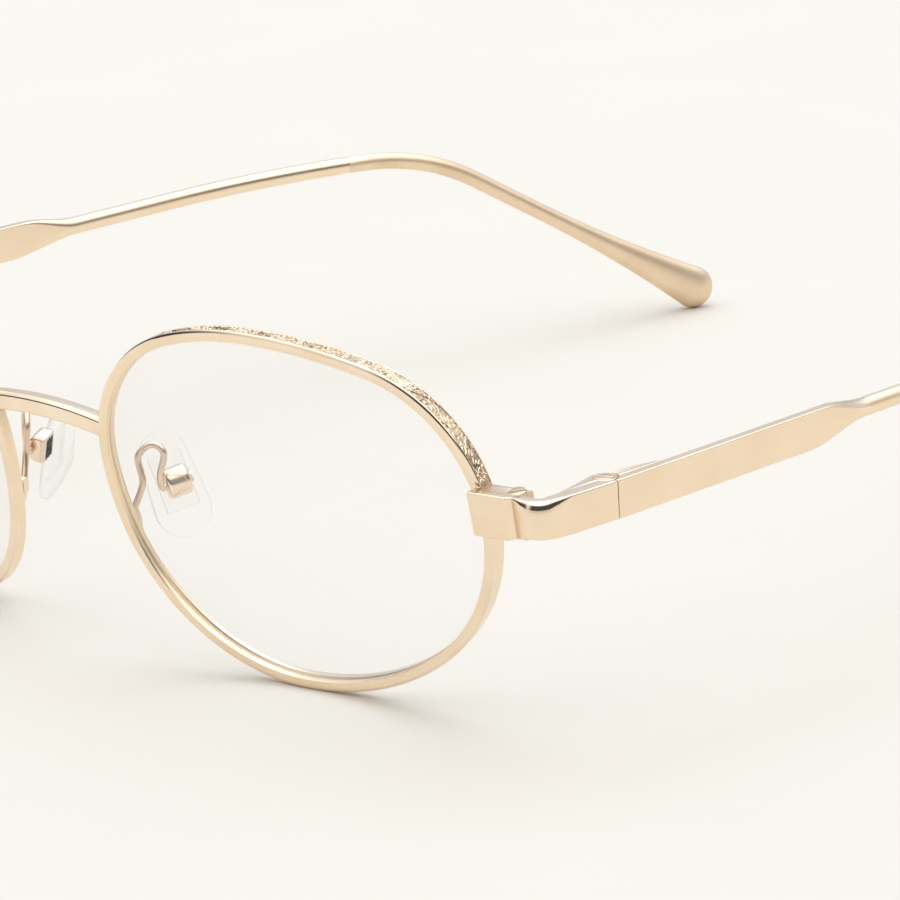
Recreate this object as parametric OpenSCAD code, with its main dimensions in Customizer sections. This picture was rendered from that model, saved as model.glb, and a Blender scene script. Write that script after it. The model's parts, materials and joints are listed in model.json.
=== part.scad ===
// Full-rim metal eyeglass frame with block endpieces, screw hinges and
// strip temples that narrow to round rods with flared ends.
// Millimetres. X runs from the wearer's right to the left, Y from the
// front to the back and Z up. The frame stands on its rims and tips.

/* [Lens openings] */
// Width of each lens opening
lens_w = 50; // [47:0.5:53]
// Height of each lens opening
lens_h = 40.8; // [39:0.2:43]
// Gap between the two lens openings at the nose
nose_gap = 19.6; // [17:0.2:23]
// Distance from the opening's nose side to its highest point
crown_in = 21.6; // [20:0.2:24]
// Height of the opening above its widest line
crown_h = 17.2; // [16:0.2:19]
// Turn of the tight arc at the outer top of the opening
turn_outer_top = 76.5; // [68:0.5:78]
// Turn of the tight arc at the nose side of the top
turn_nose_top = 72.5; // [66:0.5:76]
// Turn of the arc at the nose side of the bottom
turn_nose_low = 17; // [14:1:30]
// Turn of the arc at the outer side of the bottom
turn_outer_low = 50.5; // [44:0.5:58]
// Lean of the lenses, bottom towards the cheeks
panto = 11.7; // [6:0.1:14]
// Turn of each lens round the face
wrap = 10.5; // [6:0.1:12]

/* [Rims] */
// Width of the rim's front band
rim_w = 1.3; // [1.1:0.05:1.6]
// Depth of the rim at its outer side
rim_d = 2.4; // [2.2:0.1:2.8]
// How much slimmer the rim is at its nose side
rim_slim = 0.9; // [0.4:0.1:1]
// Taper of the rim's outer wall from front to back
rim_taper = 0.25; // [0.1:0.05:0.35]
// Polished bevel between the front band and the outer wall
rim_bevel = 0.25; // [0.15:0.05:0.35]
// Depth of the lens groove
groove_depth = 0.5; // [0.35:0.05:0.6]
// Half the width of the lens groove at its mouth
groove_half = 0.35; // [0.3:0.05:0.4]
// Distance of the groove behind the rim's front
groove_back = 0.85; // [0.8:0.05:0.95]

/* [Lenses] */
// Thickness of each lens
lens_t = 1.5; // [1.4:0.1:1.8]
// Radius of the lens's front curve
lens_curve = 400; // [360:10:500]
// Rise of the lens's middle in front of the rim
lens_rise = 0.6; // [0.5:0.05:0.65]
// Clearance between the lens and its groove
lens_clear = 0.04; // [0.02:0.01:0.08]

/* [Bridge] */
// Height of the bridge bar
bridge_h = 2.1; // [1.7:0.1:2.5]
// Depth of the bridge bar
bridge_d = 1.9; // [1.7:0.1:2.3]
// Polished bevel along the bar's upper front edge
bridge_bevel = 0.4; // [0.2:0.05:0.5]
// Radius of the bridge's arch
bridge_curve = 80; // [60:1:120]
// Height of the bar's top above the lens centres
bridge_rise = 8.6; // [6:0.1:10]
// Distance of the bar's face behind the rim's front
bridge_set = 0.35; // [0.2:0.05:0.6]

/* [Rim locks] */
// Width of the closing block beside the rim
lock_w = 5; // [4.8:0.1:5.4]
// Depth of the closing block behind the rim's front
lock_back = 1.9; // [1.8:0.1:2.2]
// Reach of the closing block in front of the rim
lock_front = 0.5; // [0.4:0.05:0.6]
// Height of the split above the lens centres
split_v = 4.6; // [4.2:0.1:5]
// Gap between the two closing blocks
split_gap = 0.15; // [0.1:0.05:0.25]
// Radius of the closing screw's shank
lock_screw_r = 0.5; // [0.4:0.05:0.6]
// Radius of the closing screw's head
lock_head_r = 0.95; // [0.8:0.05:0.95]
// Thickness of the closing screw's head
lock_head_t = 0.55; // [0.4:0.05:0.7]
// Depth of the closing screw's seat under the block's top
lock_sink = 0.4; // [0.3:0.05:0.5]
// Distance of the closing screw's end above the block's underside
lock_screw_in = 0.6; // [0.4:0.1:1]

/* [Endpieces] */
// Width of the block on the front
block_w = 5.6; // [5.2:0.1:6]
// Height of the block on the front
block_h = 5.1; // [4.9:0.1:5.6]
// Reach of the block in front of the rim
block_proud = 1.6; // [1.3:0.1:1.9]
// Distance of the block's inner side outside the lens opening
block_out = 0.15; // [0.1:0.05:0.4]
// Height of the block's top above the lens centres
block_top = 7.25; // [6.8:0.05:7.8]
// Step from the block's face back to the strap
block_step = 0.1; // [0.05:0.05:0.3]
// Thickness of the strap round the corner
strap_t = 1.75; // [1.6:0.05:1.9]
// Height of the strap at the hinge
strap_h = 4.3; // [4.1:0.1:4.6]
// Rise of the strap's underside towards the block
strap_lift = 0.45; // [0.2:0.05:0.7]
// Outer radius of the strap's corner
strap_corner = 2.3; // [2.1:0.1:2.8]
// Reach of the strap's side outside the block
strap_reach = 4.3; // [4.1:0.05:4.8]
// Length of the strap's root behind the block
strap_root = 1.2; // [0.8:0.1:1.6]
// Distance behind the corner where the strap's underside is level again
strap_fall = 3; // [2:0.1:4]

/* [Hinges] */
// Distance of the hinge axis behind the strap's front
hinge_back = 11.55; // [11:0.05:13.5]
// Distance of the hinge axis inside the outer face
hinge_in = 2.1; // [2.05:0.05:2.4]
// Radius of the hinge knuckles
knuckle_r = 1.45; // [1.4:0.05:1.5]
// Clearance round a knuckle on the other leaf
knuckle_clear = 0.25; // [0.2:0.05:0.3]
// Height of the temple's middle knuckle
knuckle_mid = 1.5; // [1.3:0.1:1.7]
// Gap above and below the middle knuckle
knuckle_gap = 0.06; // [0.04:0.01:0.1]
// Radius of the hinge screw's shank
hinge_screw_r = 0.55; // [0.5:0.05:0.6]
// Running clearance of the hinge screw in the knuckle
pin_clear = 0.05; // [0.03:0.01:0.08]
// Radius of the hinge screw's head
hinge_head_r = 1.15; // [1:0.05:1.2]
// Thickness of the hinge screw's head
hinge_head_t = 0.5; // [0.4:0.05:0.6]
// Slope of the hinge leaves towards the strip
leaf_slope = 15; // [13:0.5:18]
// Distance of a leaf's foot from the axis along the strip
leaf_foot = 0.87; // [0.6:0.01:1]
// Distance of the hinge screw's end above the strap's underside
hinge_screw_in = 0.2; // [0.1:0.05:0.4]
// Gap of the seam between endpiece and temple
seam_gap = 0.12; // [0.08:0.02:0.2]

/* [Temples] */
// Thickness of the temple's strip
temple_t = 1.2; // [1.1:0.05:1.4]
// Height of the temple's strip
temple_h = 4.3; // [4:0.1:4.6]
// Bevel along the strip's upper outer edge
temple_bevel = 0.3; // [0.2:0.05:0.4]
// Inward slope of the temples
temple_in = 2.35; // [1:0.05:4]
// Length of the strip behind the hinge axis
strip_len = 30; // [26:1:36]
// Length of the neck from strip to rod
neck_len = 10.5; // [9:0.5:13]
// Delay of the neck's top behind its underside
neck_delay = 3.5; // [2:0.5:4]
// Radius of the round rod
rod_r = 1.05; // [0.95:0.05:1.1]
// Depth of the rod's centre line under the strip's top
rod_drop = 1.9; // [1.8:0.05:2.2]
// Distance of the rod inside the strip's outer face
rod_inset = 0.04; // [0.02:0.01:0.1]
// Length of the rod inside the neck
rod_in = 4.2; // [3:0.1:5]
// Length of the rod's straight part behind the neck
rod_len = 15.6; // [14:0.2:24]
// Radius of the rod's inward bow
bow_curve = 95; // [90:5:120]
// Turn of the rod's inward bow
bow_turn = 15.6; // [8:0.2:17]

/* [Temple tips] */
// Straight part of the tip in front of the ear bend
tip_lead = 2; // [1.5:0.5:5]
// Radius of the ear bend
ear_curve = 30; // [25:1:36]
// Downward turn of the ear bend
ear_turn = 32; // [28:1:36]
// Height of the tip's flared end
tip_h = 5.5; // [4.5:0.1:6]
// Thickness of the tip's flared end
tip_t = 2.8; // [2.4:0.1:3.2]
// Length of the flare
flare_len = 26; // [20:1:28]
// Length of the rounded end
nose_len = 3; // [2.5:0.1:3.5]
// Radius of the core wire inside the tip
core_r = 0.6; // [0.5:0.05:0.65]
// Length of the core wire behind the ear bend
core_len = 16; // [10:1:20]
// Swelling of the core wire round its bend
bend_swell = 0.01; // [0.01:0.01:0.03]
// Clearance of the core wire in the tip
core_clear = 0.04; // [0.02:0.01:0.08]

/* [Pad arms] */
// Radius of the pad arm's wire
wire_r = 0.4; // [0.35:0.05:0.45]
// Width of the arm's foot behind the rim
foot_w = 1.1; // [0.9:0.05:1.2]
// Thickness of the arm's foot
foot_t = 0.9; // [0.7:0.05:1.1]
// Length of the arm's foot along the rim
foot_l = 4.2; // [3.6:0.1:4.8]
// Length of the wire's straight end in front of the pad box
wire_lead = 0.55; // [0.5:0.05:0.7]
// Distance of the wire's end from the pad box's open face
wire_in = 1.6; // [1.4:0.05:1.7]
// Angle of the foot's middle below the start of the nose side's lower arc
foot_turn = -0.5; // [-2:0.5:3]

/* [Nose pads] */
// Sideways distance from the foot to the pad
pad_dx = 0.4; // [0:0.1:0.6]
// Distance of the pad behind the foot
pad_dy = 5.5; // [5:0.1:6]
// Height of the pad above the foot's upper end
pad_dz = 2; // [1.6:0.1:2.3]
// Splay of the pads, back edges apart
pad_splay = 26; // [22:1:30]
// Lean of the pads, tops together
pad_lean = 15; // [12:1:18]
// Tilt of the pads, bottoms back
pad_tilt = 14; // [10:1:16]
// Radius of the pad's upper round
pad_top_r = 2.7; // [2.5:0.1:3]
// Radius of the pad's lower round
pad_low_r = 3.2; // [3:0.1:3.5]
// Distance from the pad's middle to each round's centre
pad_half = 3.2; // [3:0.1:3.6]
// Thickness of the pad
pad_t = 2; // [1.8:0.1:2.2]
// Depth of the pad's middle behind its crowned face
pad_front = 1.3; // [1.2:0.05:1.35]
// Radius of the pad's crowned face
pad_crown = 14; // [13:0.5:16]
// Gap between the pad's back and its box
pad_gap = 0.45; // [0.4:0.05:0.6]
// Thickness of the pad's inner plate
plate_t = 0.55; // [0.45:0.05:0.6]
// Half the width of the inner plate
plate_half_w = 1.9; // [1.6:0.1:2.1]
// Half the length of the inner plate
plate_half_l = 3.2; // [3:0.1:3.5]
// Length of the pad box
box_l = 3.4; // [3.2:0.1:3.6]
// Width of the pad box
box_w = 2.8; // [2.7:0.1:3]
// Depth of the pad box
box_t = 2.2; // [2.15:0.05:2.4]
// Radius of the pad box's rounded back
box_round = 2.1; // [1.95:0.05:2.2]
// Thickness of the pad box's side walls
box_wall = 0.55; // [0.5:0.05:0.6]
// Depth of the pad box's cavity
box_cavity = 1.85; // [1.8:0.05:1.9]
// Least thickness of the pad box's rounded back
box_back = 0.3; // [0.25:0.05:0.35]
// Radius of the lug that sits in the box
lug_r = 0.8; // [0.7:0.05:0.85]
// Clearance beside the lug
lug_clear = 0.1; // [0.06:0.02:0.14]
// Room above and below the lug
lug_room = 0.5; // [0.4:0.05:0.6]
// Depth of the pad screw's axis inside the box
pad_axis_in = 0.95; // [0.9:0.05:1]
// Radius of the pad screw's shank
pad_screw_r = 0.35; // [0.3:0.05:0.4]
// Radius of the pad screw's head
pad_head_r = 0.65; // [0.55:0.05:0.7]
// Thickness of the pad screw's head
pad_head_t = 0.35; // [0.3:0.05:0.4]

/* [Small fits] */
// Solder gap between pieces that are brazed together
braze = 0.02; // [0.01:0.01:0.04]
// Width of the screw slots
slot_w = 0.3; // [0.2:0.05:0.35]
// Depth of the screw slots
slot_d = 0.2; // [0.1:0.05:0.25]
// Small chamfer on brazed blocks and bars
edge = 0.15; // [0.1:0.05:0.2]

/* [Hidden] */

$fn = 96;
// Reach of cuts that go right through, and of cuts that end just outside
far = 20;
over = 1;
// Overlap and swelling where arcs and tangent pieces join as one solid
join_in = 0.2;
join_swell = 0.01;
// Width of the lens's edge band inside the opening
band_in = 10;

// Cross point of the opening's widest line and its highest point's line
crown_out = lens_w - crown_in;
low_h = lens_h - crown_h;
cross_u = (crown_in - crown_out) / 2;
cross_v = (low_h - crown_h) / 2;

// Radii of the side arc and the end arc that make one quarter of the opening
function side_arc(a, b, f) = (a * (1 - sin(f)) - b * cos(f)) / (1 - cos(f) - sin(f));
function end_arc(a, b, f) = (b * (1 - cos(f)) - a * sin(f)) / (1 - cos(f) - sin(f));

r1 = side_arc(crown_out, crown_h, turn_outer_top);
r2 = end_arc(crown_out, crown_h, turn_outer_top);
r3 = end_arc(crown_in, crown_h, turn_nose_top);
r4 = side_arc(crown_in, crown_h, turn_nose_top);
r5 = side_arc(crown_in, low_h, turn_nose_low);
r6 = end_arc(crown_in, low_h, turn_nose_low);
r7 = end_arc(crown_out, low_h, turn_outer_low);
r8 = side_arc(crown_out, low_h, turn_outer_low);

// Each arc of the opening: centre u, centre v, radius, start and sweep
ARCS = [
    [cross_u + crown_out - r1, cross_v, r1, 0, turn_outer_top],
    [cross_u, cross_v + crown_h - r2, r2, turn_outer_top, 90 - turn_outer_top],
    [cross_u, cross_v + crown_h - r3, r3, 90, 90 - turn_nose_top],
    [cross_u - crown_in + r4, cross_v, r4, 180 - turn_nose_top, turn_nose_top],
    [cross_u - crown_in + r5, cross_v, r5, 180, turn_nose_low],
    [cross_u, cross_v - low_h + r6, r6, 180 + turn_nose_low, 90 - turn_nose_low],
    [cross_u, cross_v - low_h + r7, r7, 270, 90 - turn_outer_low],
    [cross_u + crown_out - r8, cross_v, r8, 360 - turn_outer_low, turn_outer_low]
];

// Place of the left lens's middle
lens_x = nose_gap / 2 + lens_w / 2 * cos(wrap);
lens_z = (lens_h / 2 + rim_w) * cos(panto) - rim_bevel * sin(panto);

// A point of the left lens's own frame (out, up, forward) in the part's frame
function lens_pt(u, v, n) =
    let (b = -v * sin(panto) - n * cos(panto))
    [
        lens_x + u * cos(wrap) - b * sin(wrap),
        u * sin(wrap) + b * cos(wrap),
        lens_z + v * cos(panto) - n * sin(panto)
    ];

// Tilt of the rim's back, and the rim's depth at the lens's middle
rim_tilt = atan(rim_slim / lens_w);
rim_mid_d = rim_d - rim_slim / 2;

// Height of the endpieces' flat top, and places along the strap
top_z = lens_z + block_top;
block_u = lens_w / 2 + block_out;
block_v = block_top + block_proud * sin(panto);
block_edge = lens_pt(block_u + block_w, block_v, block_proud);
strap_x = block_edge[0] + strap_reach;
strap_y = block_edge[1] + block_step;
strap_low = top_z - strap_h;
lock_u = lens_w / 2 + rim_w + lock_w;
lock_screw_u = lock_u - lock_head_r - edge;
lock_screw_n = (lock_front - lock_back) / 2;
lock_top_v = (block_top + lock_screw_n * sin(panto)) / cos(panto);

// Hinge axis
hinge_x = strap_x - hinge_in;
hinge_y = strap_y + hinge_back;
cut_r = knuckle_r + knuckle_clear;
outer_h = (strap_h - knuckle_mid) / 2 - knuckle_gap;
mid_low = strap_low + outer_h + knuckle_gap;

// Temple's centre line, in the temple's own frame at the hinge axis
rod_x = hinge_in - rod_r - rod_inset;
rod_z = top_z - rod_drop;
bow_y = strip_len + neck_len + rod_len;
tip_x = rod_x - bow_curve * (1 - cos(bow_turn));
tip_y = bow_y + bow_curve * sin(bow_turn);
tip_low = norm([nose_len * sin(ear_turn), tip_h / 2 * cos(ear_turn)]);
tip_run = (rod_z - ear_curve * (1 - cos(ear_turn)) - tip_low) / sin(ear_turn);

// Front and back of the whole frame, so that its middle lies over the origin
function arc_reach(a, k) = ARCS[k][0] * cos(a) + ARCS[k][1] * sin(a) + ARCS[k][2] + rim_w;
front_a = atan2(sin(panto) * cos(wrap), -sin(wrap));
front_y = -arc_reach(front_a, 3) * norm([sin(wrap), sin(panto) * cos(wrap)]);
tip_level = tip_lead + ear_curve * sin(ear_turn) + tip_run * cos(ear_turn);
end_y = hinge_y
    + tip_x * sin(temple_in) + tip_y * cos(temple_in)
    + tip_level * cos(temple_in + bow_turn);
end_r = norm([
    nose_len * cos(ear_turn) * cos(temple_in + bow_turn),
    tip_h / 2 * sin(ear_turn) * cos(temple_in + bow_turn),
    tip_t / 2 * sin(temple_in + bow_turn)
]);
mid_y = (front_y + end_y + end_r) / 2;

// Pad arm's foot on the rim's back, and the pad's place behind it
foot_r = r6 + rim_w / 2;
foot_a = turn_nose_low + foot_turn;
foot_u = ARCS[5][0] - foot_r * cos(foot_a);
foot_v = ARCS[5][1] - foot_r * sin(foot_a);
foot_n = -rim_mid_d - foot_u * tan(rim_tilt) - braze - foot_t / 2;
foot_half = foot_l / 2 - wire_r;
foot = lens_pt(foot_u - foot_half * sin(foot_a), foot_v + foot_half * cos(foot_a), foot_n);
pad = foot + [pad_dx, pad_dy, pad_dz];
pad_back = pad_t - pad_front;
box_x = pad_back + pad_gap;
pad_axis_x = box_x + pad_axis_in;

function turn_x(p, a) = [p[0], p[1] * cos(a) - p[2] * sin(a), p[1] * sin(a) + p[2] * cos(a)];
function turn_y(p, a) = [p[0] * cos(a) + p[2] * sin(a), p[1], p[2] * cos(a) - p[0] * sin(a)];
function turn_z(p, a) = [p[0] * cos(a) - p[1] * sin(a), p[0] * sin(a) + p[1] * cos(a), p[2]];
function pad_pt(p) = pad + turn_z(turn_y(turn_x(p, pad_tilt), -pad_lean), -pad_splay);

// Smooth step from 0 to 1
function ease(t) = let (c = min(max(t, 0), 1)) c * c * (3 - 2 * c);

// Tube of elliptical rings along a path: rings are [centre, side, up, half side, half up]
module ring_sweep(rings, sides) {
    pts = [
        for (g = rings)
        for (k = [0 : sides - 1])
        let (a = 360 * (k + 0.5) / sides)
        g[0] + g[1] * g[3] * cos(a) + g[2] * g[4] * sin(a)
    ];
    last = len(rings) - 1;
    walls = [
        for (i = [0 : last - 1])
        for (k = [0 : sides - 1])
        let (m = (k + 1) % sides)
        for (half = [0, 1])
        half == 0
            ? [i * sides + k, (i + 1) * sides + m, i * sides + m]
            : [i * sides + k, (i + 1) * sides + k, (i + 1) * sides + m]
    ];
    caps = [
        [for (k = [0 : sides - 1]) k],
        [for (k = [sides - 1 : -1 : 0]) last * sides + k]
    ];
    polyhedron(points = pts, faces = concat(walls, caps), convexity = 6);
}

// The left side's places, with the whole frame's middle over the origin
module placed() {
    translate([0, -mid_y, 0]) children();
}

module on_left() {
    placed() children();
}

module on_right() {
    mirror([1, 0, 0]) placed() children();
}

module on_lens() {
    translate([lens_x, 0, lens_z]) rotate([90 + panto, 0, wrap]) children();
}

// The rim's back, which comes forward towards the nose
module on_rim_back() {
    rotate([0, rim_tilt, 0]) translate([0, 0, -rim_mid_d]) children();
}

module on_hinge() {
    translate([hinge_x, hinge_y, 0]) children();
}

module on_temple() {
    on_hinge() rotate([0, 0, temple_in]) children();
}

module on_tip() {
    translate([tip_x, tip_y, rod_z]) rotate([0, 0, bow_turn]) children();
}

module on_pad() {
    translate(pad) rotate([pad_tilt, -pad_lean, -pad_splay]) children();
}

// Places what is drawn about one arc's centre, turned to the arc's start.
// Every other arc runs a little way into its neighbours, a hundredth
// larger than they are, so that the arcs join as one solid.
function lead_in(k) = k % 2 == 0 ? join_in / ARCS[k][2] * 180 / PI : 0;
function join_grow(k) = k % 2 == 0 ? join_swell : 0;

module on_arc(k) {
    translate([ARCS[k][0], ARCS[k][1], 0])
    rotate([0, 0, ARCS[k][3] - lead_in(k)])
    rotate_extrude(angle = ARCS[k][4] + 2 * lead_in(k))
    children();
}

// The rim's bar round the opening: profile of [distance outside the opening, forward]
module opening_ring(profile) {
    for (k = [0 : 7])
    on_arc(k)
    polygon([
        for (p = profile)
        [ARCS[k][2] + p[0] + (p[0] > rim_w / 2 ? 1 : -1) * join_grow(k), p[1]]
    ]);
}

// The whole opening as a solid, with an edge profile of [distance outside, forward]
module opening_solid(profile) {
    back = profile[0][1];
    front = profile[len(profile) - 1][1];
    for (k = [0 : 7])
    on_arc(k)
    polygon(concat(
        [[ARCS[k][2] - band_in, back]],
        [for (p = profile) [ARCS[k][2] + p[0] + join_grow(k), p[1]]],
        [[ARCS[k][2] - band_in, front]]
    ));
    translate([0, 0, back + join_in])
    linear_extrude(front - back - 2 * join_in)
    polygon([
        for (a = ARCS)
        for (e = [0.2, 0.8])
        [
            a[0] + (a[2] - band_in / 2) * cos(a[3] + a[4] * e),
            a[1] + (a[2] - band_in / 2) * sin(a[3] + a[4] * e)
        ]
    ]);
}

// Everything inside the rim's outer wall, grown by a gap
module rim_shadow(gap) {
    opening_solid([
        [rim_w - rim_taper + gap, -far],
        [rim_w - rim_taper + gap, -rim_d - edge],
        [rim_w + gap, 0],
        [rim_w + gap, far]
    ]);
}

// Slab that opens the rim and the closing blocks at the split
module split_slab(gap) {
    translate([0, split_v - gap / 2, -far]) cube([2 * lens_w, gap, 2 * far]);
}

module rim_part() {
    color("burlywood") on_lens() difference() {
        opening_ring([
            [edge / 2, 0],
            [rim_w - rim_bevel, 0],
            [rim_w, -rim_bevel],
            [rim_w - rim_taper, -rim_d - edge],
            [0, -rim_d - edge],
            [0, -groove_back - groove_half],
            [groove_depth, -groove_back],
            [0, groove_half - groove_back],
            [0, -edge / 2]
        ]);
        split_slab(split_gap);
        on_rim_back() translate([-2 * lens_w, -2 * lens_w, -far]) cube([4 * lens_w, 4 * lens_w, far]);
    }
}

// Ball with its poles away from the lens
module lens_ball(r) {
    translate([0, 0, lens_rise - lens_curve]) rotate([90, 0, 0]) sphere(r = r, $fn = 256);
}

module lens_part() {
    v = groove_depth - 2 * lens_clear;
    h = groove_half - 2 * lens_clear;
    color("lightcyan", 0.3) on_lens() difference() {
        intersection() {
            opening_solid([
                [-lens_clear, -rim_d],
                [-lens_clear, -groove_back - h],
                [v, -groove_back],
                [-lens_clear, h - groove_back],
                [-lens_clear, rim_w]
            ]);
            lens_ball(lens_curve);
        }
        lens_ball(lens_curve - lens_t);
    }
}

module bridge() {
    spread = asin((nose_gap / 2 + rim_w) / bridge_curve);
    join = lens_pt(-lens_w / 2 - rim_w, bridge_rise - bridge_h / 2, -bridge_set);
    color("burlywood") placed() difference() {
        translate([0, join[1], lens_z + bridge_rise - bridge_curve])
        rotate([90, 0, 0])
        rotate([0, 0, 90 - spread])
        rotate_extrude(angle = 2 * spread)
        polygon([
            [bridge_curve - bridge_h, -edge],
            [bridge_curve - bridge_h + edge, 0],
            [bridge_curve - bridge_bevel, 0],
            [bridge_curve, -bridge_bevel],
            [bridge_curve, edge - bridge_d],
            [bridge_curve - edge, -bridge_d],
            [bridge_curve - bridge_h + edge, -bridge_d],
            [bridge_curve - bridge_h, edge - bridge_d]
        ]);
        on_lens() rim_shadow(braze);
        mirror([1, 0, 0]) on_lens() rim_shadow(braze);
    }
}

// Room between the endpiece's flat top and the block's underside
module block_slab() {
    translate([lens_x, -far, top_z - block_h]) cube([2 * lens_w, 3 * far, block_h]);
}

module lock_shape(grow) {
    translate([lens_w / 2 - rim_w, -far, -lock_back - grow])
    cube([lock_u - lens_w / 2 + rim_w + grow, 2 * far, lock_back + lock_front + 2 * grow]);
}

module lock_blank() {
    intersection() {
        on_lens() difference() {
            lock_shape(0);
            rim_shadow(braze);
        }
        block_slab();
    }
}

module lock_screw_hole(r) {
    on_lens() translate([lock_screw_u, 0, lock_screw_n])
    rotate([-90, 0, 0]) cylinder(r = r, h = far);
}

module lock_head_room(r) {
    on_lens() translate([lock_screw_u, lock_top_v - lock_sink, lock_screw_n])
    rotate([-90, 0, 0]) cylinder(r = r, h = far);
}

module rim_lock_upper_part() {
    color("burlywood") difference() {
        lock_blank();
        on_lens() translate([0, split_v + split_gap / 2 - far, -far])
        cube([2 * lens_w, far, 2 * far]);
        lock_screw_hole(lock_screw_r + braze);
        lock_head_room(lock_head_r + braze);
    }
}

module rim_lock_lower_part() {
    color("burlywood") difference() {
        lock_blank();
        on_lens() translate([0, split_v - split_gap / 2, -far]) cube([2 * lens_w, far, 2 * far]);
        lock_screw_hole(lock_screw_r + braze);
    }
}

// Slotted cheese-head screw: shank down from the head's underside at the origin
module slotted_screw(head_r, head_t, shank_r, length) {
    difference() {
        union() {
            cylinder(r = head_r, h = head_t);
            translate([0, 0, -length]) cylinder(r = shank_r, h = length + head_t / 2);
        }
        translate([-head_r - over, -slot_w / 2, head_t - slot_d])
        cube([2 * (head_r + over), slot_w, slot_d + over]);
    }
}

module rim_screw_part() {
    seat = lock_top_v - lock_sink + braze;
    low = (block_top - block_h) / cos(panto);
    color("goldenrod") on_lens() translate([lock_screw_u, seat, lock_screw_n])
    rotate([-90, 0, 0]) rotate([0, 0, 35])
    slotted_screw(lock_head_r, lock_head_t, lock_screw_r, seat - low - lock_screw_in);
}

// Underside of the strap, which rises towards the block
module strap_slab() {
    translate([0, strap_y, 0])
    rotate([90, 0, 90])
    linear_extrude(2 * lens_w)
    polygon([
        [-far, strap_low + strap_lift],
        [strap_t, strap_low + strap_lift],
        [strap_t + strap_corner + strap_fall, strap_low],
        [far, strap_low],
        [far, top_z],
        [-far, top_z]
    ]);
}

module strap_shape() {
    root = strap_x - strap_corner;
    start = block_edge[0] - strap_root;
    side = hinge_y - seam_gap / 2 - strap_y - strap_corner;
    intersection() {
        union() {
            translate([start, strap_y, 0]) cube([root - start, strap_t, 2 * top_z]);
            translate([root, strap_y + strap_corner, 0])
            rotate([0, 0, -90])
            rotate_extrude(angle = 90)
            translate([strap_corner - strap_t, 0])
            square([strap_t, 2 * top_z]);
            translate([strap_x - strap_t, strap_y + strap_corner, 0])
            cube([strap_t, side, 2 * top_z]);
        }
        strap_slab();
    }
}

// Knuckle cuts at the three levels of the hinge: outer levels, then the middle level
module knuckle_cuts(outer_r, mid_r) {
    translate([0, 0, strap_low - over]) cylinder(r = outer_r, h = over + outer_h + knuckle_gap);
    translate([0, 0, mid_low]) cylinder(r = mid_r, h = knuckle_mid);
    translate([0, 0, mid_low + knuckle_mid])
    cylinder(r = outer_r, h = knuckle_gap + outer_h + over);
}

module endpiece_part() {
    color("burlywood") difference() {
        union() {
            intersection() {
                on_lens() translate([block_u, -far, braze])
                cube([block_w, 2 * far, block_proud - braze]);
                block_slab();
            }
            strap_shape();
        }
        on_lens() difference() {
            lock_shape(braze);
            rim_shadow(-braze);
        }
        on_hinge() knuckle_cuts(knuckle_r + braze, cut_r);
    }
}

// Plan of a hinge leaf from the axis to the strip's inner face at x = reach
module leaf_plan(reach, way) {
    tx = -knuckle_r * cos(leaf_slope);
    ty = knuckle_r * sin(leaf_slope);
    polygon([
        [0, 0],
        [tx, way * ty],
        [reach, way * (ty + (reach - tx) / tan(leaf_slope))],
        [reach, way * leaf_foot]
    ]);
}

module hinge_front_part() {
    reach = hinge_in - strap_t - braze;
    color("burlywood") difference() {
        union() {
            intersection() {
                on_hinge() linear_extrude(2 * top_z) leaf_plan(reach, -1);
                strap_slab();
            }
            for (z = [strap_low, top_z - outer_h])
            on_hinge() translate([0, 0, z]) cylinder(r = knuckle_r, h = outer_h);
        }
        on_hinge() translate([0, 0, mid_low - knuckle_gap])
        cylinder(r = cut_r, h = knuckle_mid + 2 * knuckle_gap);
        on_hinge() cylinder(r = hinge_screw_r + braze, h = 2 * top_z);
        on_hinge() translate([0, 0, top_z - hinge_head_t + braze])
        cylinder(r = hinge_head_r + braze, h = far);
    }
}

module hinge_rear_part() {
    reach = hinge_in - temple_t - braze;
    color("burlywood") on_temple() difference() {
        union() {
            translate([0, 0, top_z - temple_h]) linear_extrude(temple_h) leaf_plan(reach, 1);
            translate([0, 0, mid_low]) cylinder(r = knuckle_r, h = knuckle_mid);
        }
        translate([0, 0, top_z - temple_h - over])
        cylinder(r = cut_r, h = over + mid_low - top_z + temple_h);
        translate([0, 0, mid_low + knuckle_mid]) cylinder(r = cut_r, h = far);
        cylinder(r = hinge_screw_r + pin_clear, h = 2 * top_z);
    }
}

module hinge_screw_part() {
    color("goldenrod") on_hinge() translate([0, 0, top_z - hinge_head_t + 2 * braze])
    rotate([0, 0, 20])
    slotted_screw(hinge_head_r, hinge_head_t, hinge_screw_r, strap_h - hinge_head_t - hinge_screw_in);
}

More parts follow.
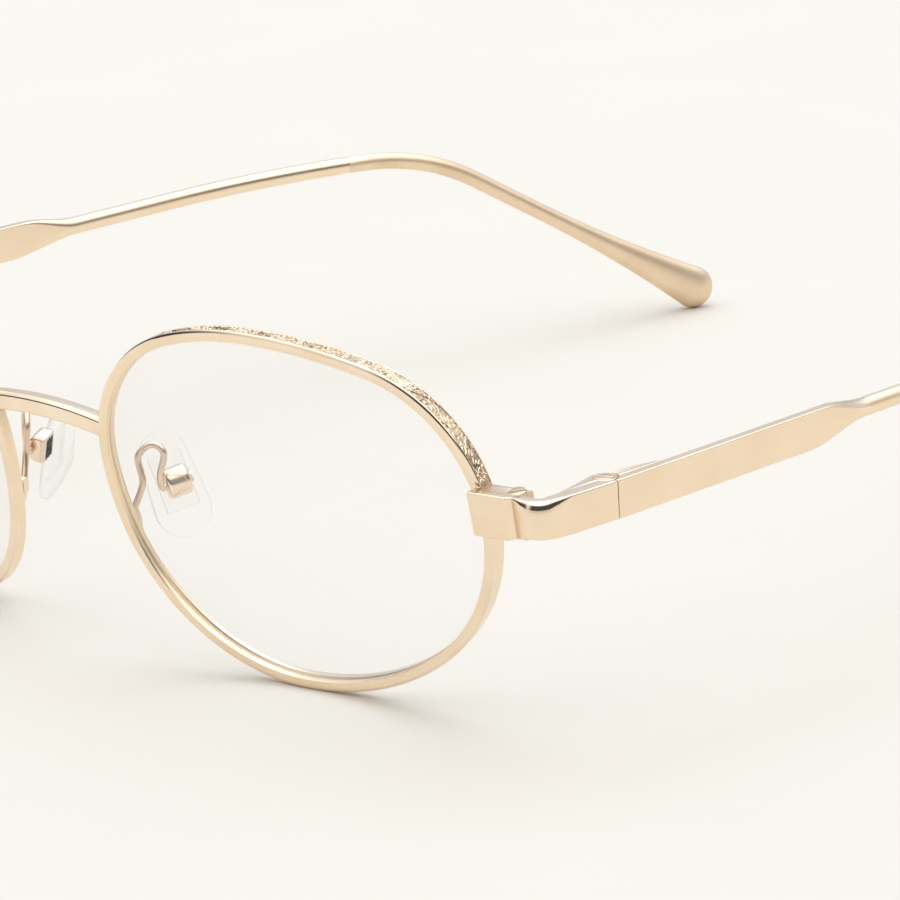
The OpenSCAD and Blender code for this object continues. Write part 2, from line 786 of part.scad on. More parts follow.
module temple_part() {
    steps = 10;
    rod_start = strip_len + neck_len - rod_in;
    color("burlywood") on_temple() union() {
        difference() {
            translate([hinge_in - temple_t, 0, top_z])
            rotate([90, 0, 90])
            linear_extrude(temple_t)
            polygon(concat(
                [[seam_gap / 2, 0], [seam_gap / 2, -temple_h]],
                [
                    for (i = [0 : steps])
                    [
                        strip_len + neck_len * i / steps,
                        -temple_h + (temple_h - rod_drop - rod_r - rod_inset) * ease(i / steps)
                    ]
                ],
                [
                    for (i = [steps : -1 : 0])
                    [
                        strip_len + neck_delay + (neck_len - neck_delay) * i / steps,
                        (rod_r + rod_inset - rod_drop) * ease(i / steps)
                    ]
                ]
            ));
            knuckle_cuts(cut_r, knuckle_r + braze);
            translate([hinge_in, 0, top_z]) rotate([0, 45, 0])
            cube([temple_bevel, 2 * (strip_len + neck_len), 2 * temple_bevel], center = true);
        }
        translate([rod_x, rod_start, rod_z]) rotate([-90, 0, 0])
        cylinder(r = rod_r, h = bow_y - rod_start);
        translate([rod_x - bow_curve, bow_y, rod_z])
        rotate_extrude(angle = bow_turn) translate([bow_curve, 0]) circle(r = rod_r);
        on_tip() core_wire(core_r, 0);
    }
}

// Round wire along the tip's centre line: lead, ear bend and straight end
module core_wire(r, extra) {
    into = 0.3;
    root = 0.5;
    translate([0, -root, 0]) rotate([-90, 0, 0]) cylinder(r = r, h = root + tip_lead + into);
    translate([0, tip_lead, -ear_curve])
    rotate([90, 0, 90]) rotate([0, 0, 90 - ear_turn])
    rotate_extrude(angle = ear_turn) translate([ear_curve, 0]) circle(r = r + bend_swell);
    translate([0, tip_lead, -ear_curve])
    rotate([-ear_turn, 0, 0]) translate([0, -into, ear_curve])
    rotate([-90, 0, 0]) cylinder(r = r, h = core_len + extra + into);
}

// Rings of the tip's outside: lead, ear bend, flare and rounded end
function tip_ring(y, z, a, half_w, half_h) = [
    [0, y, z], [-1, 0, 0], [0, sin(a), cos(a)], half_w, half_h
];
function tip_straight(s, half_w, half_h) = tip_ring(
    tip_lead + ear_curve * sin(ear_turn) + s * cos(ear_turn),
    -ear_curve * (1 - cos(ear_turn)) - s * sin(ear_turn),
    ear_turn, half_w, half_h
);
function flare(s) = let (t = max(0, 1 - (tip_run - s) / flare_len)) t * t;
function flare_w(s) = rod_r + (tip_t / 2 - rod_r) * flare(s);
function flare_h(s) = rod_r + (tip_h / 2 - rod_r) * flare(s);

module temple_tip_part() {
    bends = 8;
    runs = 9;
    rounds = 5;
    last_turn = 85;
    start = tip_run - flare_len;
    color("burlywood") on_temple() on_tip() difference() {
        ring_sweep(concat(
            [tip_ring(braze, 0, 0, rod_r, rod_r)],
            [
                for (i = [0 : bends])
                let (a = ear_turn * i / bends)
                tip_ring(tip_lead + ear_curve * sin(a), -ear_curve * (1 - cos(a)), a, rod_r, rod_r)
            ],
            [
                for (i = [0 : runs])
                let (s = start + flare_len * i / runs)
                tip_straight(s, flare_w(s), flare_h(s))
            ],
            [
                for (i = [1 : rounds])
                let (a = last_turn * i / rounds)
                tip_straight(tip_run + nose_len * sin(a), tip_t / 2 * cos(a), tip_h / 2 * cos(a))
            ]
        ), 16);
        core_wire(core_r + core_clear, core_clear);
    }
}

// Points that the arm's wire passes, from the foot to the side of the pad box
box_entry = pad_pt([box_x + wire_in, -box_w / 2 - wire_lead, 0]);
wire_end = pad_pt([box_x + wire_in, -box_w / 2 - braze, 0]);
wire_side = [0.8, -0.6, 0];
WIRE = [
    foot + [-0.2, 0, -2.2],
    foot,
    foot + [0.6, 1, 2.9],
    foot + [0.1, 1, 5.8],
    foot + [1.3, 2, 7.2],
    foot + [2.5, 2.7, 6.3],
    foot + [2.1, 2.3, 3.7],
    box_entry,
    wire_end
];

// Smooth curve through the wire's points
function spline(p, i, t) =
    let (a = p[max(i - 1, 0)], b = p[i], c = p[i + 1], d = p[min(i + 2, len(p) - 1)])
    b + (c - a) * t / 2
    + (a * 2 - b * 5 + c * 4 - d) * t * t / 2
    + (b * 3 - a - c * 3 + d) * t * t * t / 2;
function unit(v) = v / norm(v);

module pad_arm_part() {
    steps = 4;
    path = concat(
        [
            for (i = [1 : len(WIRE) - 2])
            for (k = [0 : steps - 1])
            spline(WIRE, i, k / steps)
        ],
        [wire_end]
    );
    last = len(path) - 1;
    color("burlywood") union() {
        ring_sweep([
            for (i = [0 : last])
            let (
                t = i == last
                    ? pad_pt([0, 1, 0]) - pad
                    : unit(path[i + 1] - path[max(i - 1, 0)]),
                side = unit(cross(wire_side, t)),
                up = cross(t, side)
            )
            [path[i], side, up, wire_r, wire_r]
        ], 8);
        on_lens() on_rim_back()
        translate([foot_u, foot_v, -braze - foot_t / 2]) rotate([0, 0, foot_a])
        cube([foot_w, foot_l, foot_t], center = true);
    }
}

module pad_axis_cylinder(r, low, high) {
    translate([pad_axis_x, low, 0]) rotate([-90, 0, 0]) cylinder(r = r, h = high - low);
}

module box_cylinder(r) {
    translate([box_x + box_t - box_round, 0, 0]) rotate([90, 0, 0])
    cylinder(r = r, h = 2 * box_w, center = true);
}

module pad_box_part() {
    half = box_w / 2 - box_wall;
    room = lug_r + lug_room;
    color("burlywood") on_pad() difference() {
        intersection() {
            translate([box_x, -box_w / 2, -box_l / 2]) cube([box_t, box_w, box_l]);
            box_cylinder(box_round);
        }
        intersection() {
            translate([box_x - over, -half, -room]) cube([box_cavity + over, 2 * half, 2 * room]);
            box_cylinder(box_round - box_back);
        }
        pad_axis_cylinder(pad_screw_r + braze, -far, far);
    }
}

module pad_screw_part() {
    color("goldenrod") on_pad() translate([pad_axis_x, box_w / 2 + braze, 0])
    rotate([-90, 0, 0]) slotted_screw(pad_head_r, pad_head_t, pad_screw_r, box_w);
}

module pad_plan() {
    top = pad_top_r - join_swell;
    low = pad_low_r - join_swell;
    translate([0, pad_half]) circle(r = pad_top_r);
    translate([0, -pad_half]) circle(r = pad_low_r);
    polygon([[top, pad_half], [-top, pad_half], [-low, -pad_half], [low, -pad_half]]);
}

module nose_pad_part() {
    color("whitesmoke", 0.5) on_pad() difference() {
        intersection() {
            translate([-pad_front, 0, 0]) rotate([90, 0, 90]) linear_extrude(pad_t) pad_plan();
            translate([pad_crown - pad_front, 0, 0]) sphere(r = pad_crown);
        }
        translate([pad_back - plate_t - braze, -plate_half_w - braze, -plate_half_l - braze])
        cube([over, 2 * (plate_half_w + braze), 2 * (plate_half_l + braze)]);
    }
}

module pad_insert_part() {
    half = box_w / 2 - box_wall - lug_clear;
    color("silver") on_pad() difference() {
        union() {
            translate([pad_back - plate_t, -plate_half_w, -plate_half_l])
            cube([plate_t, 2 * plate_half_w, 2 * plate_half_l]);
            translate([pad_back - plate_t / 2, -half, -lug_r])
            cube([pad_axis_x - pad_back + plate_t / 2, 2 * half, 2 * lug_r]);
            pad_axis_cylinder(lug_r, -half, half);
        }
        pad_axis_cylinder(pad_screw_r + pin_clear, -far, far);
    }
}

module left_rim() { on_left() rim_part(); }
module right_rim() { on_right() rim_part(); }
module left_lens() { on_left() lens_part(); }
module right_lens() { on_right() lens_part(); }
module left_rim_lock_upper() { on_left() rim_lock_upper_part(); }
module right_rim_lock_upper() { on_right() rim_lock_upper_part(); }
module left_rim_lock_lower() { on_left() rim_lock_lower_part(); }
module right_rim_lock_lower() { on_right() rim_lock_lower_part(); }
module left_rim_screw() { on_left() rim_screw_part(); }
module right_rim_screw() { on_right() rim_screw_part(); }
module left_endpiece() { on_left() endpiece_part(); }
module right_endpiece() { on_right() endpiece_part(); }
module left_hinge_front() { on_left() hinge_front_part(); }
module right_hinge_front() { on_right() hinge_front_part(); }
module left_hinge_rear() { on_left() hinge_rear_part(); }
module right_hinge_rear() { on_right() hinge_rear_part(); }
module left_hinge_screw() { on_left() hinge_screw_part(); }
module right_hinge_screw() { on_right() hinge_screw_part(); }
module left_temple() { on_left() temple_part(); }
module right_temple() { on_right() temple_part(); }
module left_temple_tip() { on_left() temple_tip_part(); }
module right_temple_tip() { on_right() temple_tip_part(); }
module left_pad_arm() { on_left() pad_arm_part(); }
module right_pad_arm() { on_right() pad_arm_part(); }
module left_pad_box() { on_left() pad_box_part(); }
module right_pad_box() { on_right() pad_box_part(); }
module left_pad_screw() { on_left() pad_screw_part(); }
module right_pad_screw() { on_right() pad_screw_part(); }
module left_nose_pad() { on_left() nose_pad_part(); }
module right_nose_pad() { on_right() nose_pad_part(); }
module left_pad_insert() { on_left() pad_insert_part(); }
module right_pad_insert() { on_right() pad_insert_part(); }

bridge();
left_rim();
right_rim();
left_lens();
right_lens();
left_rim_lock_upper();
right_rim_lock_upper();
left_rim_lock_lower();
right_rim_lock_lower();
left_rim_screw();
right_rim_screw();
left_endpiece();
right_endpiece();
left_hinge_front();
right_hinge_front();
left_hinge_rear();
right_hinge_rear();
left_hinge_screw();
right_hinge_screw();
left_temple();
right_temple();
left_temple_tip();
right_temple_tip();
left_pad_arm();
right_pad_arm();
left_pad_box();
right_pad_box();
left_pad_screw();
right_pad_screw();
left_nose_pad();
right_nose_pad();
left_pad_insert();
right_pad_insert();
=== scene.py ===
import json
import math

import bmesh
import bpy
import numpy as np
from mathutils import Matrix, Vector

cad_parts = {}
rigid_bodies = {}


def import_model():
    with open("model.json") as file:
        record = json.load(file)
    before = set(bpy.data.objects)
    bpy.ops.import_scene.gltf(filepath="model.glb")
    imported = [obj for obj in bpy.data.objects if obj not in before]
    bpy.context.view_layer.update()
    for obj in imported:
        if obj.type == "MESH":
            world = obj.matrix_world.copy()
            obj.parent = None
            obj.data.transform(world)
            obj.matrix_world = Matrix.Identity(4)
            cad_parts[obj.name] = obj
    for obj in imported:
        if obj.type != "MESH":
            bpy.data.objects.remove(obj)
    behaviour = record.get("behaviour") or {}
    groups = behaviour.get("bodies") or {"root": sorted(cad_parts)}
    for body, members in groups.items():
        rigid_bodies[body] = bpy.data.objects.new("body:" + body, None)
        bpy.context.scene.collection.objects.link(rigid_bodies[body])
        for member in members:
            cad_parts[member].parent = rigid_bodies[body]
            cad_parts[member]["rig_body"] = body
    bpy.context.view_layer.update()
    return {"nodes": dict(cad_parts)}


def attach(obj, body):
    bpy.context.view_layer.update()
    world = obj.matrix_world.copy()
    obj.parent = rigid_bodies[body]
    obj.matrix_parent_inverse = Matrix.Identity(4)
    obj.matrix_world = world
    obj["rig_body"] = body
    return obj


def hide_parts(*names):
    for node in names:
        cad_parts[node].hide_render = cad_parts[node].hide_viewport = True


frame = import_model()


# Studio. A large pale table in a nearly white light tent. The tent's two dark
# sides are what the polished edges mirror as thin lines, and one large cool
# lamp behind the frame leaves a faint warm shadow under the rims.
def put(tree, kind, values=None, links=None, **settings):
    """Adds a node with its settings, its input values and its links."""
    node = tree.nodes.new(kind)
    for key, value in settings.items():
        setattr(node, key, value)
    for socket, value in (values or {}).items():
        node.inputs[socket].default_value = value
    for socket, source in (links or {}).items():
        tree.links.new(source, node.inputs[socket])
    return node


def ramp(tree, factor, stops):
    """A colour ramp with stops of (place, grey or colour)."""
    node = put(tree, "ShaderNodeValToRGB", links={"Fac": factor})
    band = node.color_ramp
    while len(band.elements) < len(stops):
        band.elements.new(0.5)
    for element, (place, tone) in zip(band.elements, stops):
        element.position = place
        colour = (tone,) * 3 if isinstance(tone, (int, float)) else tone
        element.color = (*colour, 1)
    return node.outputs["Color"]


def mixed(tree, factor, low, high):
    """Mixes two colours, each a colour or a socket, by a factor socket or number."""
    node = put(tree, "ShaderNodeMix", data_type="RGBA")
    for socket, source in ((0, factor), (6, low), (7, high)):
        if isinstance(source, bpy.types.NodeSocket):
            tree.links.new(source, node.inputs[socket])
        elif socket == 0:
            node.inputs[0].default_value = source
        else:
            node.inputs[socket].default_value = (*source, 1)
    return node.outputs[2]


to_camera = (0.706553, -0.649051, 0.281984)
dark_room = (0.891, -0.454, 0.0)
dark_corner = (-0.839, -0.545, 0.0)
world = bpy.data.worlds.new("light_tent")
world.use_nodes = True
bpy.context.scene.world = world
tree = world.node_tree
direction = put(tree, "ShaderNodeTexCoord").outputs["Generated"]
unit = put(tree, "ShaderNodeVectorMath", operation="NORMALIZE", links={0: direction}).outputs[0]
height = put(tree, "ShaderNodeSeparateXYZ", links={0: unit}).outputs["Z"]


def towards(way, start, end):
    """How far a place on the tent lies towards a direction: 0 at start, 1 at end."""
    near = put(tree, "ShaderNodeVectorMath", {1: way}, {0: unit}, operation="DOT_PRODUCT").outputs["Value"]
    return put(tree, "ShaderNodeMapRange", {1: start, 2: end}, {0: near},
               interpolation_type="SMOOTHSTEP").outputs[0]


front = mixed(tree, height, (0.88, 0.86, 0.83), (1.0, 1.0, 1.0))
tint = mixed(tree, towards(to_camera, 0.1, -0.6), front, (0.68, 0.71, 0.78))
overhead = put(tree, "ShaderNodeMapRange", {1: 0.35, 2: 0.80, 3: 0.9, 4: 1.75}, {0: height},
               interpolation_type="SMOOTHSTEP").outputs[0]
sides = put(tree, "ShaderNodeMath", operation="MAXIMUM",
            links={0: towards(dark_room, 0.10, 0.50), 1: towards(dark_corner, 0.82, 0.94)}).outputs[0]
at_height = ramp(tree, height, [(0.02, 0.0), (0.08, 1.0), (0.46, 1.0), (0.58, 0.0)])
dark = put(tree, "ShaderNodeMath", operation="MULTIPLY", links={0: sides, 1: at_height}).outputs[0]
dimmed = put(tree, "ShaderNodeMapRange", {3: 1.0, 4: 0.08}, {0: dark}).outputs[0]
shade = put(tree, "ShaderNodeMath", operation="MULTIPLY", links={0: overhead, 1: dimmed}).outputs[0]
tent = put(tree, "ShaderNodeVectorMath", operation="SCALE", links={0: tint, "Scale": shade}).outputs[0]
background = tree.nodes["Background"]
tree.links.new(tent, background.inputs["Color"])
background.inputs["Strength"].default_value = 1.0

table_size, under_frame = 6, 0.00004
bpy.ops.mesh.primitive_plane_add(size=table_size, location=(0, 0, -under_frame))
floor = bpy.context.object
floor.name = "floor"
table = bpy.data.materials.new("pale_table")
table.use_nodes = True
tree = table.node_tree
where = put(tree, "ShaderNodeTexCoord").outputs["Object"]
grain = put(tree, "ShaderNodeTexNoise", {"Scale": 40.0, "Detail": 4.0}, {"Vector": where}).outputs["Fac"]
shader = tree.nodes["Principled BSDF"]
pale = ramp(tree, grain, [(0.3, (0.710, 0.668, 0.606)), (0.7, (0.718, 0.676, 0.614))])
tree.links.new(pale, shader.inputs["Base Color"])
shader.inputs["Roughness"].default_value = 0.95
shader.inputs["Specular IOR Level"].default_value = 0.0
floor.data.materials.append(table)

bpy.ops.object.light_add(type="AREA", location=(-0.45, 1.05, 2.7))
lamp = bpy.context.object
lamp.data.size = 2.2
lamp.data.energy = 22.0
lamp.data.color = (0.56, 0.80, 1.0)
lamp.rotation_euler = Vector((-0.2, 0.4, 0.9)).to_track_quat("Z", "Y").to_euler()

eye, azimuth, elevation, rolled = (0.5344024, -0.5053308, 0.2229250), 47.429, 16.379, -2.932
turn = Matrix.Rotation(math.radians(azimuth), 4, "Z")
lean = Matrix.Rotation(math.radians(90 - elevation), 4, "X")
roll = Matrix.Rotation(math.radians(rolled), 4, "Z")
camera_data = bpy.data.cameras.new("camera")
camera_data.lens = 258.185
camera_data.sensor_width = 36
camera_data.clip_start = 0.05
camera = bpy.data.objects.new("camera", camera_data)
camera.matrix_world = Matrix.Translation(eye) @ turn @ lean @ roll
bpy.context.scene.collection.objects.link(camera)
bpy.context.scene.camera = camera
bpy.context.scene.view_settings.view_transform = "Standard"


# Rims. Each is one bar of pale champagne-gold alloy, rolled with a lens
# groove and bent round the lens. The front band is satin, the edges are
# polished, and a long field on the upper outer wall is sunk for engraving.
def gold(name, low, high, roughness, brush=0.0, speckle=0.0, dark=None, patch=160.0):
    """Champagne-gold plating: tone drift, brush lines along the piece, and pores, painted dark as shade in the pits
    where dark is given.
    """
    material = bpy.data.materials.new(name)
    material.use_nodes = True
    tree = material.node_tree
    shader = tree.nodes["Principled BSDF"]
    coords = put(tree, "ShaderNodeTexCoord").outputs
    where = coords["Object"]
    drift = put(tree, "ShaderNodeTexNoise", {"Scale": patch, "Detail": 3.0}, {"Vector": where}).outputs["Fac"]
    tone = mixed(tree, ramp(tree, drift, [(0.35, 0.0), (0.65, 1.0)]), low, high)
    stretch = put(tree, "ShaderNodeMapping", {"Scale": (0.25, 9.0, 9.0)}, {"Vector": coords["UV"]}).outputs[0]
    lines = put(tree, "ShaderNodeTexNoise", {"Scale": 3.0, "Detail": 5.0}, {"Vector": stretch}).outputs["Fac"]
    # where a dark colour is given, the pits are painted with it as shade
    if dark:
        pores = put(tree, "ShaderNodeTexVoronoi", {"Scale": 4200.0}, {"Vector": where},
                    feature="F1").outputs["Distance"]
        tone = mixed(tree, ramp(tree, pores, [(0.15, 1.0), (0.45, 0.0)]), tone, dark)
    else:
        pores = put(tree, "ShaderNodeTexNoise", {"Scale": 5200.0, "Detail": 2.0}, {"Vector": where}).outputs["Fac"]
    tree.links.new(tone, shader.inputs["Base Color"])
    shader.inputs["Metallic"].default_value = 1.0
    spread = put(tree, "ShaderNodeMapRange", {3: roughness * 0.88, 4: roughness * 1.12}, {0: lines}).outputs[0]
    tree.links.new(spread, shader.inputs["Roughness"])
    fine = put(tree, "ShaderNodeBump", {"Strength": speckle, "Distance": 0.00002}, {"Height": pores}).outputs[0]
    brushed = put(tree, "ShaderNodeBump", {"Strength": brush, "Distance": 0.00001},
                  {"Height": lines, "Normal": fine}).outputs[0]
    tree.links.new(brushed, shader.inputs["Normal"])
    return material


satin = gold("satin_gold", (0.915, 0.74, 0.54), (0.94, 0.775, 0.58), 0.30, brush=0.2, speckle=0.1)
polished = gold("polished_gold", (0.90, 0.73, 0.55), (0.95, 0.81, 0.64), 0.10, brush=0.05)
# the engraved ground's tone drifts at random; its dark brown end and near-black pits are painted shade in the sunk,
# stippled field
shaded_ground = gold("engraved_ground_painted_shade", (0.46, 0.32, 0.21), (0.86, 0.69, 0.51), 0.42, speckle=1.0,
              dark=(0.12, 0.07, 0.03), patch=420.0)


def rounded(corners, radii, steps=4):
    """A closed outline through 3-D corners, each rounded by its radius, or by one before and one after."""
    corners = [np.array(c, float) for c in corners]
    out = []
    for i, (corner, radius) in enumerate(zip(corners, radii)):
        back = corners[i - 1] - corner
        on = corners[(i + 1) % len(corners)] - corner
        before, after = radius if isinstance(radius, tuple) else (radius, radius)
        back = back / max(np.linalg.norm(back), 1e-9) * before
        on = on / max(np.linalg.norm(on), 1e-9) * after
        for step in range(steps + 1):
            a = math.pi / 2 * step / steps
            out.append(corner + back * (1 - math.sin(a)) + on * (1 - math.cos(a)))
    return out


def loft(name, rings, pick=None):
    """A closed skin through rings of points, with its length and girth as UVs, in millimetres.

    Where pick is given, it chooses the material of the face after ring i and point k."""
    rings = np.array(rings, float)
    count, sides = rings.shape[:2]
    centres = rings.mean(axis=1)
    along = np.concatenate([[0], np.cumsum(np.linalg.norm(np.diff(centres, axis=0), axis=1))])
    middle = rings[count // 2]
    around = np.concatenate([[0], np.cumsum(np.linalg.norm(np.roll(middle, -1, axis=0) - middle, axis=1))])
    faces, slots, uvs = [], [], []
    for i in range(count - 1):
        for k in range(sides):
            j = (k + 1) % sides
            faces.append((i * sides + k, i * sides + j, (i + 1) * sides + j, (i + 1) * sides + k))
            slots.append(pick(i, k) if pick else 0)
            uvs += [(along[i], around[k]), (along[i], around[k + 1])]
            uvs += [(along[i + 1], around[k + 1]), (along[i + 1], around[k])]
    for cap in (range(sides), range((count - 1) * sides, count * sides)):
        faces.append(tuple(cap))
        slots.append(0)
        uvs += [(rings.reshape(-1, 3)[p][0], rings.reshape(-1, 3)[p][2]) for p in cap]
    mesh = bpy.data.meshes.new(name)
    mesh.from_pydata([tuple(p) for p in rings.reshape(-1, 3)], [], faces)
    mesh.polygons.foreach_set("material_index", slots)
    layer = mesh.uv_layers.new(name="UVMap")
    layer.data.foreach_set("uv", np.array(uvs, np.float32).ravel())
    return mesh


def settle(mesh, place, materials, angle=28):
    """Puts a mesh drawn in millimetres in its place in the part's frame, normals outward."""
    for material in materials:
        mesh.materials.append(material)
    mesh.transform(Matrix.Scale(0.001, 4) @ place)
    work = bmesh.new()
    work.from_mesh(mesh)
    bmesh.ops.recalc_face_normals(work, faces=work.faces)
    work.to_mesh(mesh)
    work.free()
    mesh.shade_smooth()
    mesh.set_sharp_from_angle(angle=math.radians(angle))
    return mesh


def wear_on(name, mesh, slot, *nodes):
    """Makes the piece, rides it on its node's body and lets it stand for its nodes."""
    piece = bpy.data.objects.new(name, mesh)
    bpy.context.scene.collection.objects.link(piece)
    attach(piece, frame["nodes"][nodes[0]]["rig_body"])
    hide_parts(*nodes)


def mirrored(mesh):
    """A left piece's mesh, turned over for the right side."""
    other = mesh.copy()
    other.transform(Matrix.Scale(-1, 4, (1, 0, 0)))
    other.flip_normals()
    return other


def both_sides(name, mesh, slot, *nodes):
    """The left piece, and its mirror image as the right one. A node's name follows its side."""
    wear_on("left_" + name, mesh, slot, *["left_" + n for n in nodes])
    wear_on("right_" + name, mirrored(mesh), slot, *["right_" + n for n in nodes])


face_form, lens_tilt = 10.5, 11.7
lens_middle, lens_height = 34.381, 21.1984
placed = Matrix.Translation((0, -68.8616, 0))
lens_place = (placed @ Matrix.Translation((lens_middle, 0, lens_height))
              @ Matrix.Rotation(math.radians(face_form), 4, "Z")
              @ Matrix.Rotation(math.radians(90 + lens_tilt), 4, "X"))
# the lens opening: each arc's centre across and up, radius, start and sweep
arcs = [
    (9.3036, 3.2, 15.6964, 0.0, 76.5), (-3.4, -49.7142, 70.1142, 76.5, 13.5),
    (-3.4, -13.2936, 33.6936, 90.0, 17.5), (-8.6004, 3.2, 16.3996, 107.5, 72.5),
    (4.2912, 3.2, 29.2912, 180.0, 17.0), (-3.4, 0.8486, 21.2486, 197.0, 73.0),
    (-3.4, 12.2846, 32.6846, 270.0, 39.5), (4.0887, 3.2, 20.9113, 309.5, 50.5)]
rim_w, rim_taper, rim_bevel, taper_run, wall_line = 1.3, 0.25, 0.25, 2.3, 1.2


def outline(step):
    """Stations round the lens opening: arc centre, radius, angle and length run along the wall."""
    out, run = [], 0.0
    for cu, cv, radius, start, sweep in arcs:
        length = math.radians(sweep) * (radius + wall_line)
        parts = max(4, math.ceil(length / step))
        for i in range(parts):
            out.append((cu, cv, radius, math.radians(start + sweep * i / parts), run + length * i / parts))
        run += length
    return out


def wall_out(depth):
    """The outer wall's distance outside the opening at a depth behind the front."""
    return rim_w - rim_taper * (depth - rim_bevel) / taper_run


def back_depth(u):
    """How far the rim's back lies behind its front, a little farther towards the hinge."""
    return 1.95 + 0.018 * u


field_start, field_end, field_sink, off_field = 3.6, 51.6, 0.085, 0.0
lip_plain, field_more, foot_in = 0.30, 0.11, 0.16
split_r, split_under, split_over = 17.0, 1.475, 1.325
split_low, split_high = math.asin(split_under / split_r), math.asin(split_over / split_r)
stations = [s for s in outline(0.3) if s[3] > split_low]
stations.insert(0, (*arcs[0][:3], split_low, off_field))
stations += [(*arcs[0][:3], 2 * math.pi + split_high * e, off_field) for e in (0, 0.5, 1)]
rings = []
for cu, cv, radius, a, run in stations:
    depth = back_depth(cu + (radius + 1) * math.cos(a))
    full = min(1, max(0, (run - field_start) / 0.5), max(0, (field_end - run) / 0.9))
    sink = field_sink * full
    broad, deep = 0.44 + 0.24 * full, rim_bevel + field_more * full
    edge = [(rim_w - broad * (1 - math.sin(t)), -deep * (1 - math.cos(t)))
            for t in np.radians(range(0, 91, 18))]
    lip, foot = lip_plain + field_more * full, depth - foot_in
    profile = [
        (0, -0.30), (0.02, -0.15), (0.09, -0.03), (0.17, 0), (0.55, 0.0), *edge,
        (wall_out(lip), -lip), (wall_out(lip + 0.03) - sink, -lip - 0.03),
        (wall_out((lip + foot) / 2) - sink, -(lip + foot) / 2),
        (wall_out(foot - 0.03) - sink, -foot + 0.03), (wall_out(foot), -foot),
        (wall_out(depth - 0.1), 0.1 - depth), (wall_out(depth) - 0.03, 0.03 - depth),
        (wall_out(depth) - 0.1, -depth), (0.12, -depth), (0.03, 0.03 - depth), (0, 0.12 - depth),
        (0, -1.2), (0.5, -0.87), (0.5, -0.83), (0, -0.5)]
    rings.append([(cu + (radius + w) * math.cos(a), cv + (radius + w) * math.sin(a), n) for w, n in profile])
in_field = [field_start + 0.25 < s[4] < field_end - 0.5 for s in stations]
edge_faces, field_faces, foot_face, corner_faces = range(5, 12), (12, 13), 14, (16, 17)


def rim_finish(i, k):
    """Ground gold with painted shade in the sunk field and behind it, polish on the edges, satin elsewhere."""
    if in_field[i] and (k in field_faces or k in corner_faces):
        return 2
    return 1 if k in edge_faces or k == foot_face or k in corner_faces else 0


rim_mesh = settle(loft("rim", rings, rim_finish), lens_place, (satin, polished, shaded_ground), 20)
both_sides("rim_bar", rim_mesh, "frame_metal", "rim")


# Engraving on the rims' upper outer wall. A running scroll with leaves stands
# in the sunk, stippled field, cut flush with the wall, and a row of fine
# beads follows the wall's back edge. Both are rolled into the metal.
def carry(name, positions, outs, acrosses):
    """A line that a repeated shape follows, with its outward and crosswise directions."""
    mesh = bpy.data.meshes.new(name)
    mesh.from_pydata([tuple(p) for p in positions], [(i, i + 1) for i in range(len(positions) - 1)], [])
    for key, values in (("out", outs), ("across", acrosses)):
        layer = mesh.attributes.new(key, "FLOAT_VECTOR", "POINT")
        layer.data.foreach_set("vector", np.array(values, np.float32).ravel())
    return bpy.data.objects.new(name, mesh)


def band_tree():
    """Copies of a shape, side by side on a line, bent to follow it."""
    tree = bpy.data.node_groups.new("band", "GeometryNodeTree")
    sockets = tree.interface
    sockets.new_socket("Geometry", in_out="INPUT", socket_type="NodeSocketGeometry")
    for label, kind in (("Shape", "Object"), ("Line", "Object"), ("Count", "Int"), ("Pitch", "Float"),
                        ("Start", "Float"), ("Alternate turn", "Float"), ("Material", "Material")):
        sockets.new_socket(label, in_out="INPUT", socket_type="NodeSocket" + kind)
    sockets.new_socket("Geometry", in_out="OUTPUT", socket_type="NodeSocketGeometry")
    given = put(tree, "NodeGroupInput").outputs
    first = put(tree, "ShaderNodeCombineXYZ", links={0: given["Start"]}).outputs[0]
    step = put(tree, "ShaderNodeCombineXYZ", links={0: given["Pitch"]}).outputs[0]
    row = put(tree, "GeometryNodeMeshLine",
              links={"Count": given["Count"], "Start Location": first, "Offset": step}).outputs[0]
    shape = put(tree, "GeometryNodeObjectInfo", links={"Object": given["Shape"]}).outputs["Geometry"]
    index = put(tree, "GeometryNodeInputIndex").outputs[0]
    odd = put(tree, "ShaderNodeMath", {1: 2.0}, {0: index}, operation="MODULO").outputs[0]
    turn = put(tree, "ShaderNodeMath", links={0: odd, 1: given["Alternate turn"]}, operation="MULTIPLY").outputs[0]
    spin = put(tree, "ShaderNodeCombineXYZ", links={2: turn}).outputs[0]
    copies = put(tree, "GeometryNodeInstanceOnPoints",
                 links={"Points": row, "Instance": shape, "Rotation": spin}).outputs[0]
    flat = put(tree, "GeometryNodeRealizeInstances", links={0: copies}).outputs[0]
    line = put(tree, "GeometryNodeObjectInfo", links={"Object": given["Line"]}).outputs["Geometry"]
    curve = put(tree, "GeometryNodeMeshToCurve", links={0: line}).outputs[0]
    here = put(tree, "GeometryNodeInputPosition").outputs[0]
    place = put(tree, "ShaderNodeSeparateXYZ", links={0: here}).outputs
    spot = None
    for key, along in (("out", place["Z"]), ("across", place["Y"])):
        value = put(tree, "GeometryNodeInputNamedAttribute", {"Name": key},
                    data_type="FLOAT_VECTOR").outputs["Attribute"]
        sample = put(tree, "GeometryNodeSampleCurve", links={"Curves": curve, "Value": value, "Length": place["X"]},
                     mode="LENGTH", data_type="FLOAT_VECTOR").outputs
        lift = put(tree, "ShaderNodeVectorMath", links={0: sample["Value"], "Scale": along},
                   operation="SCALE").outputs[0]
        base = spot or sample["Position"]
        spot = put(tree, "ShaderNodeVectorMath", links={0: base, 1: lift}, operation="ADD").outputs[0]
    bent = put(tree, "GeometryNodeSetPosition", links={"Geometry": flat, "Position": spot}).outputs[0]
    done = put(tree, "GeometryNodeSetMaterial", links={"Geometry": bent, "Material": given["Material"]}).outputs[0]
    put(tree, "NodeGroupOutput", links={0: done})
    return tree


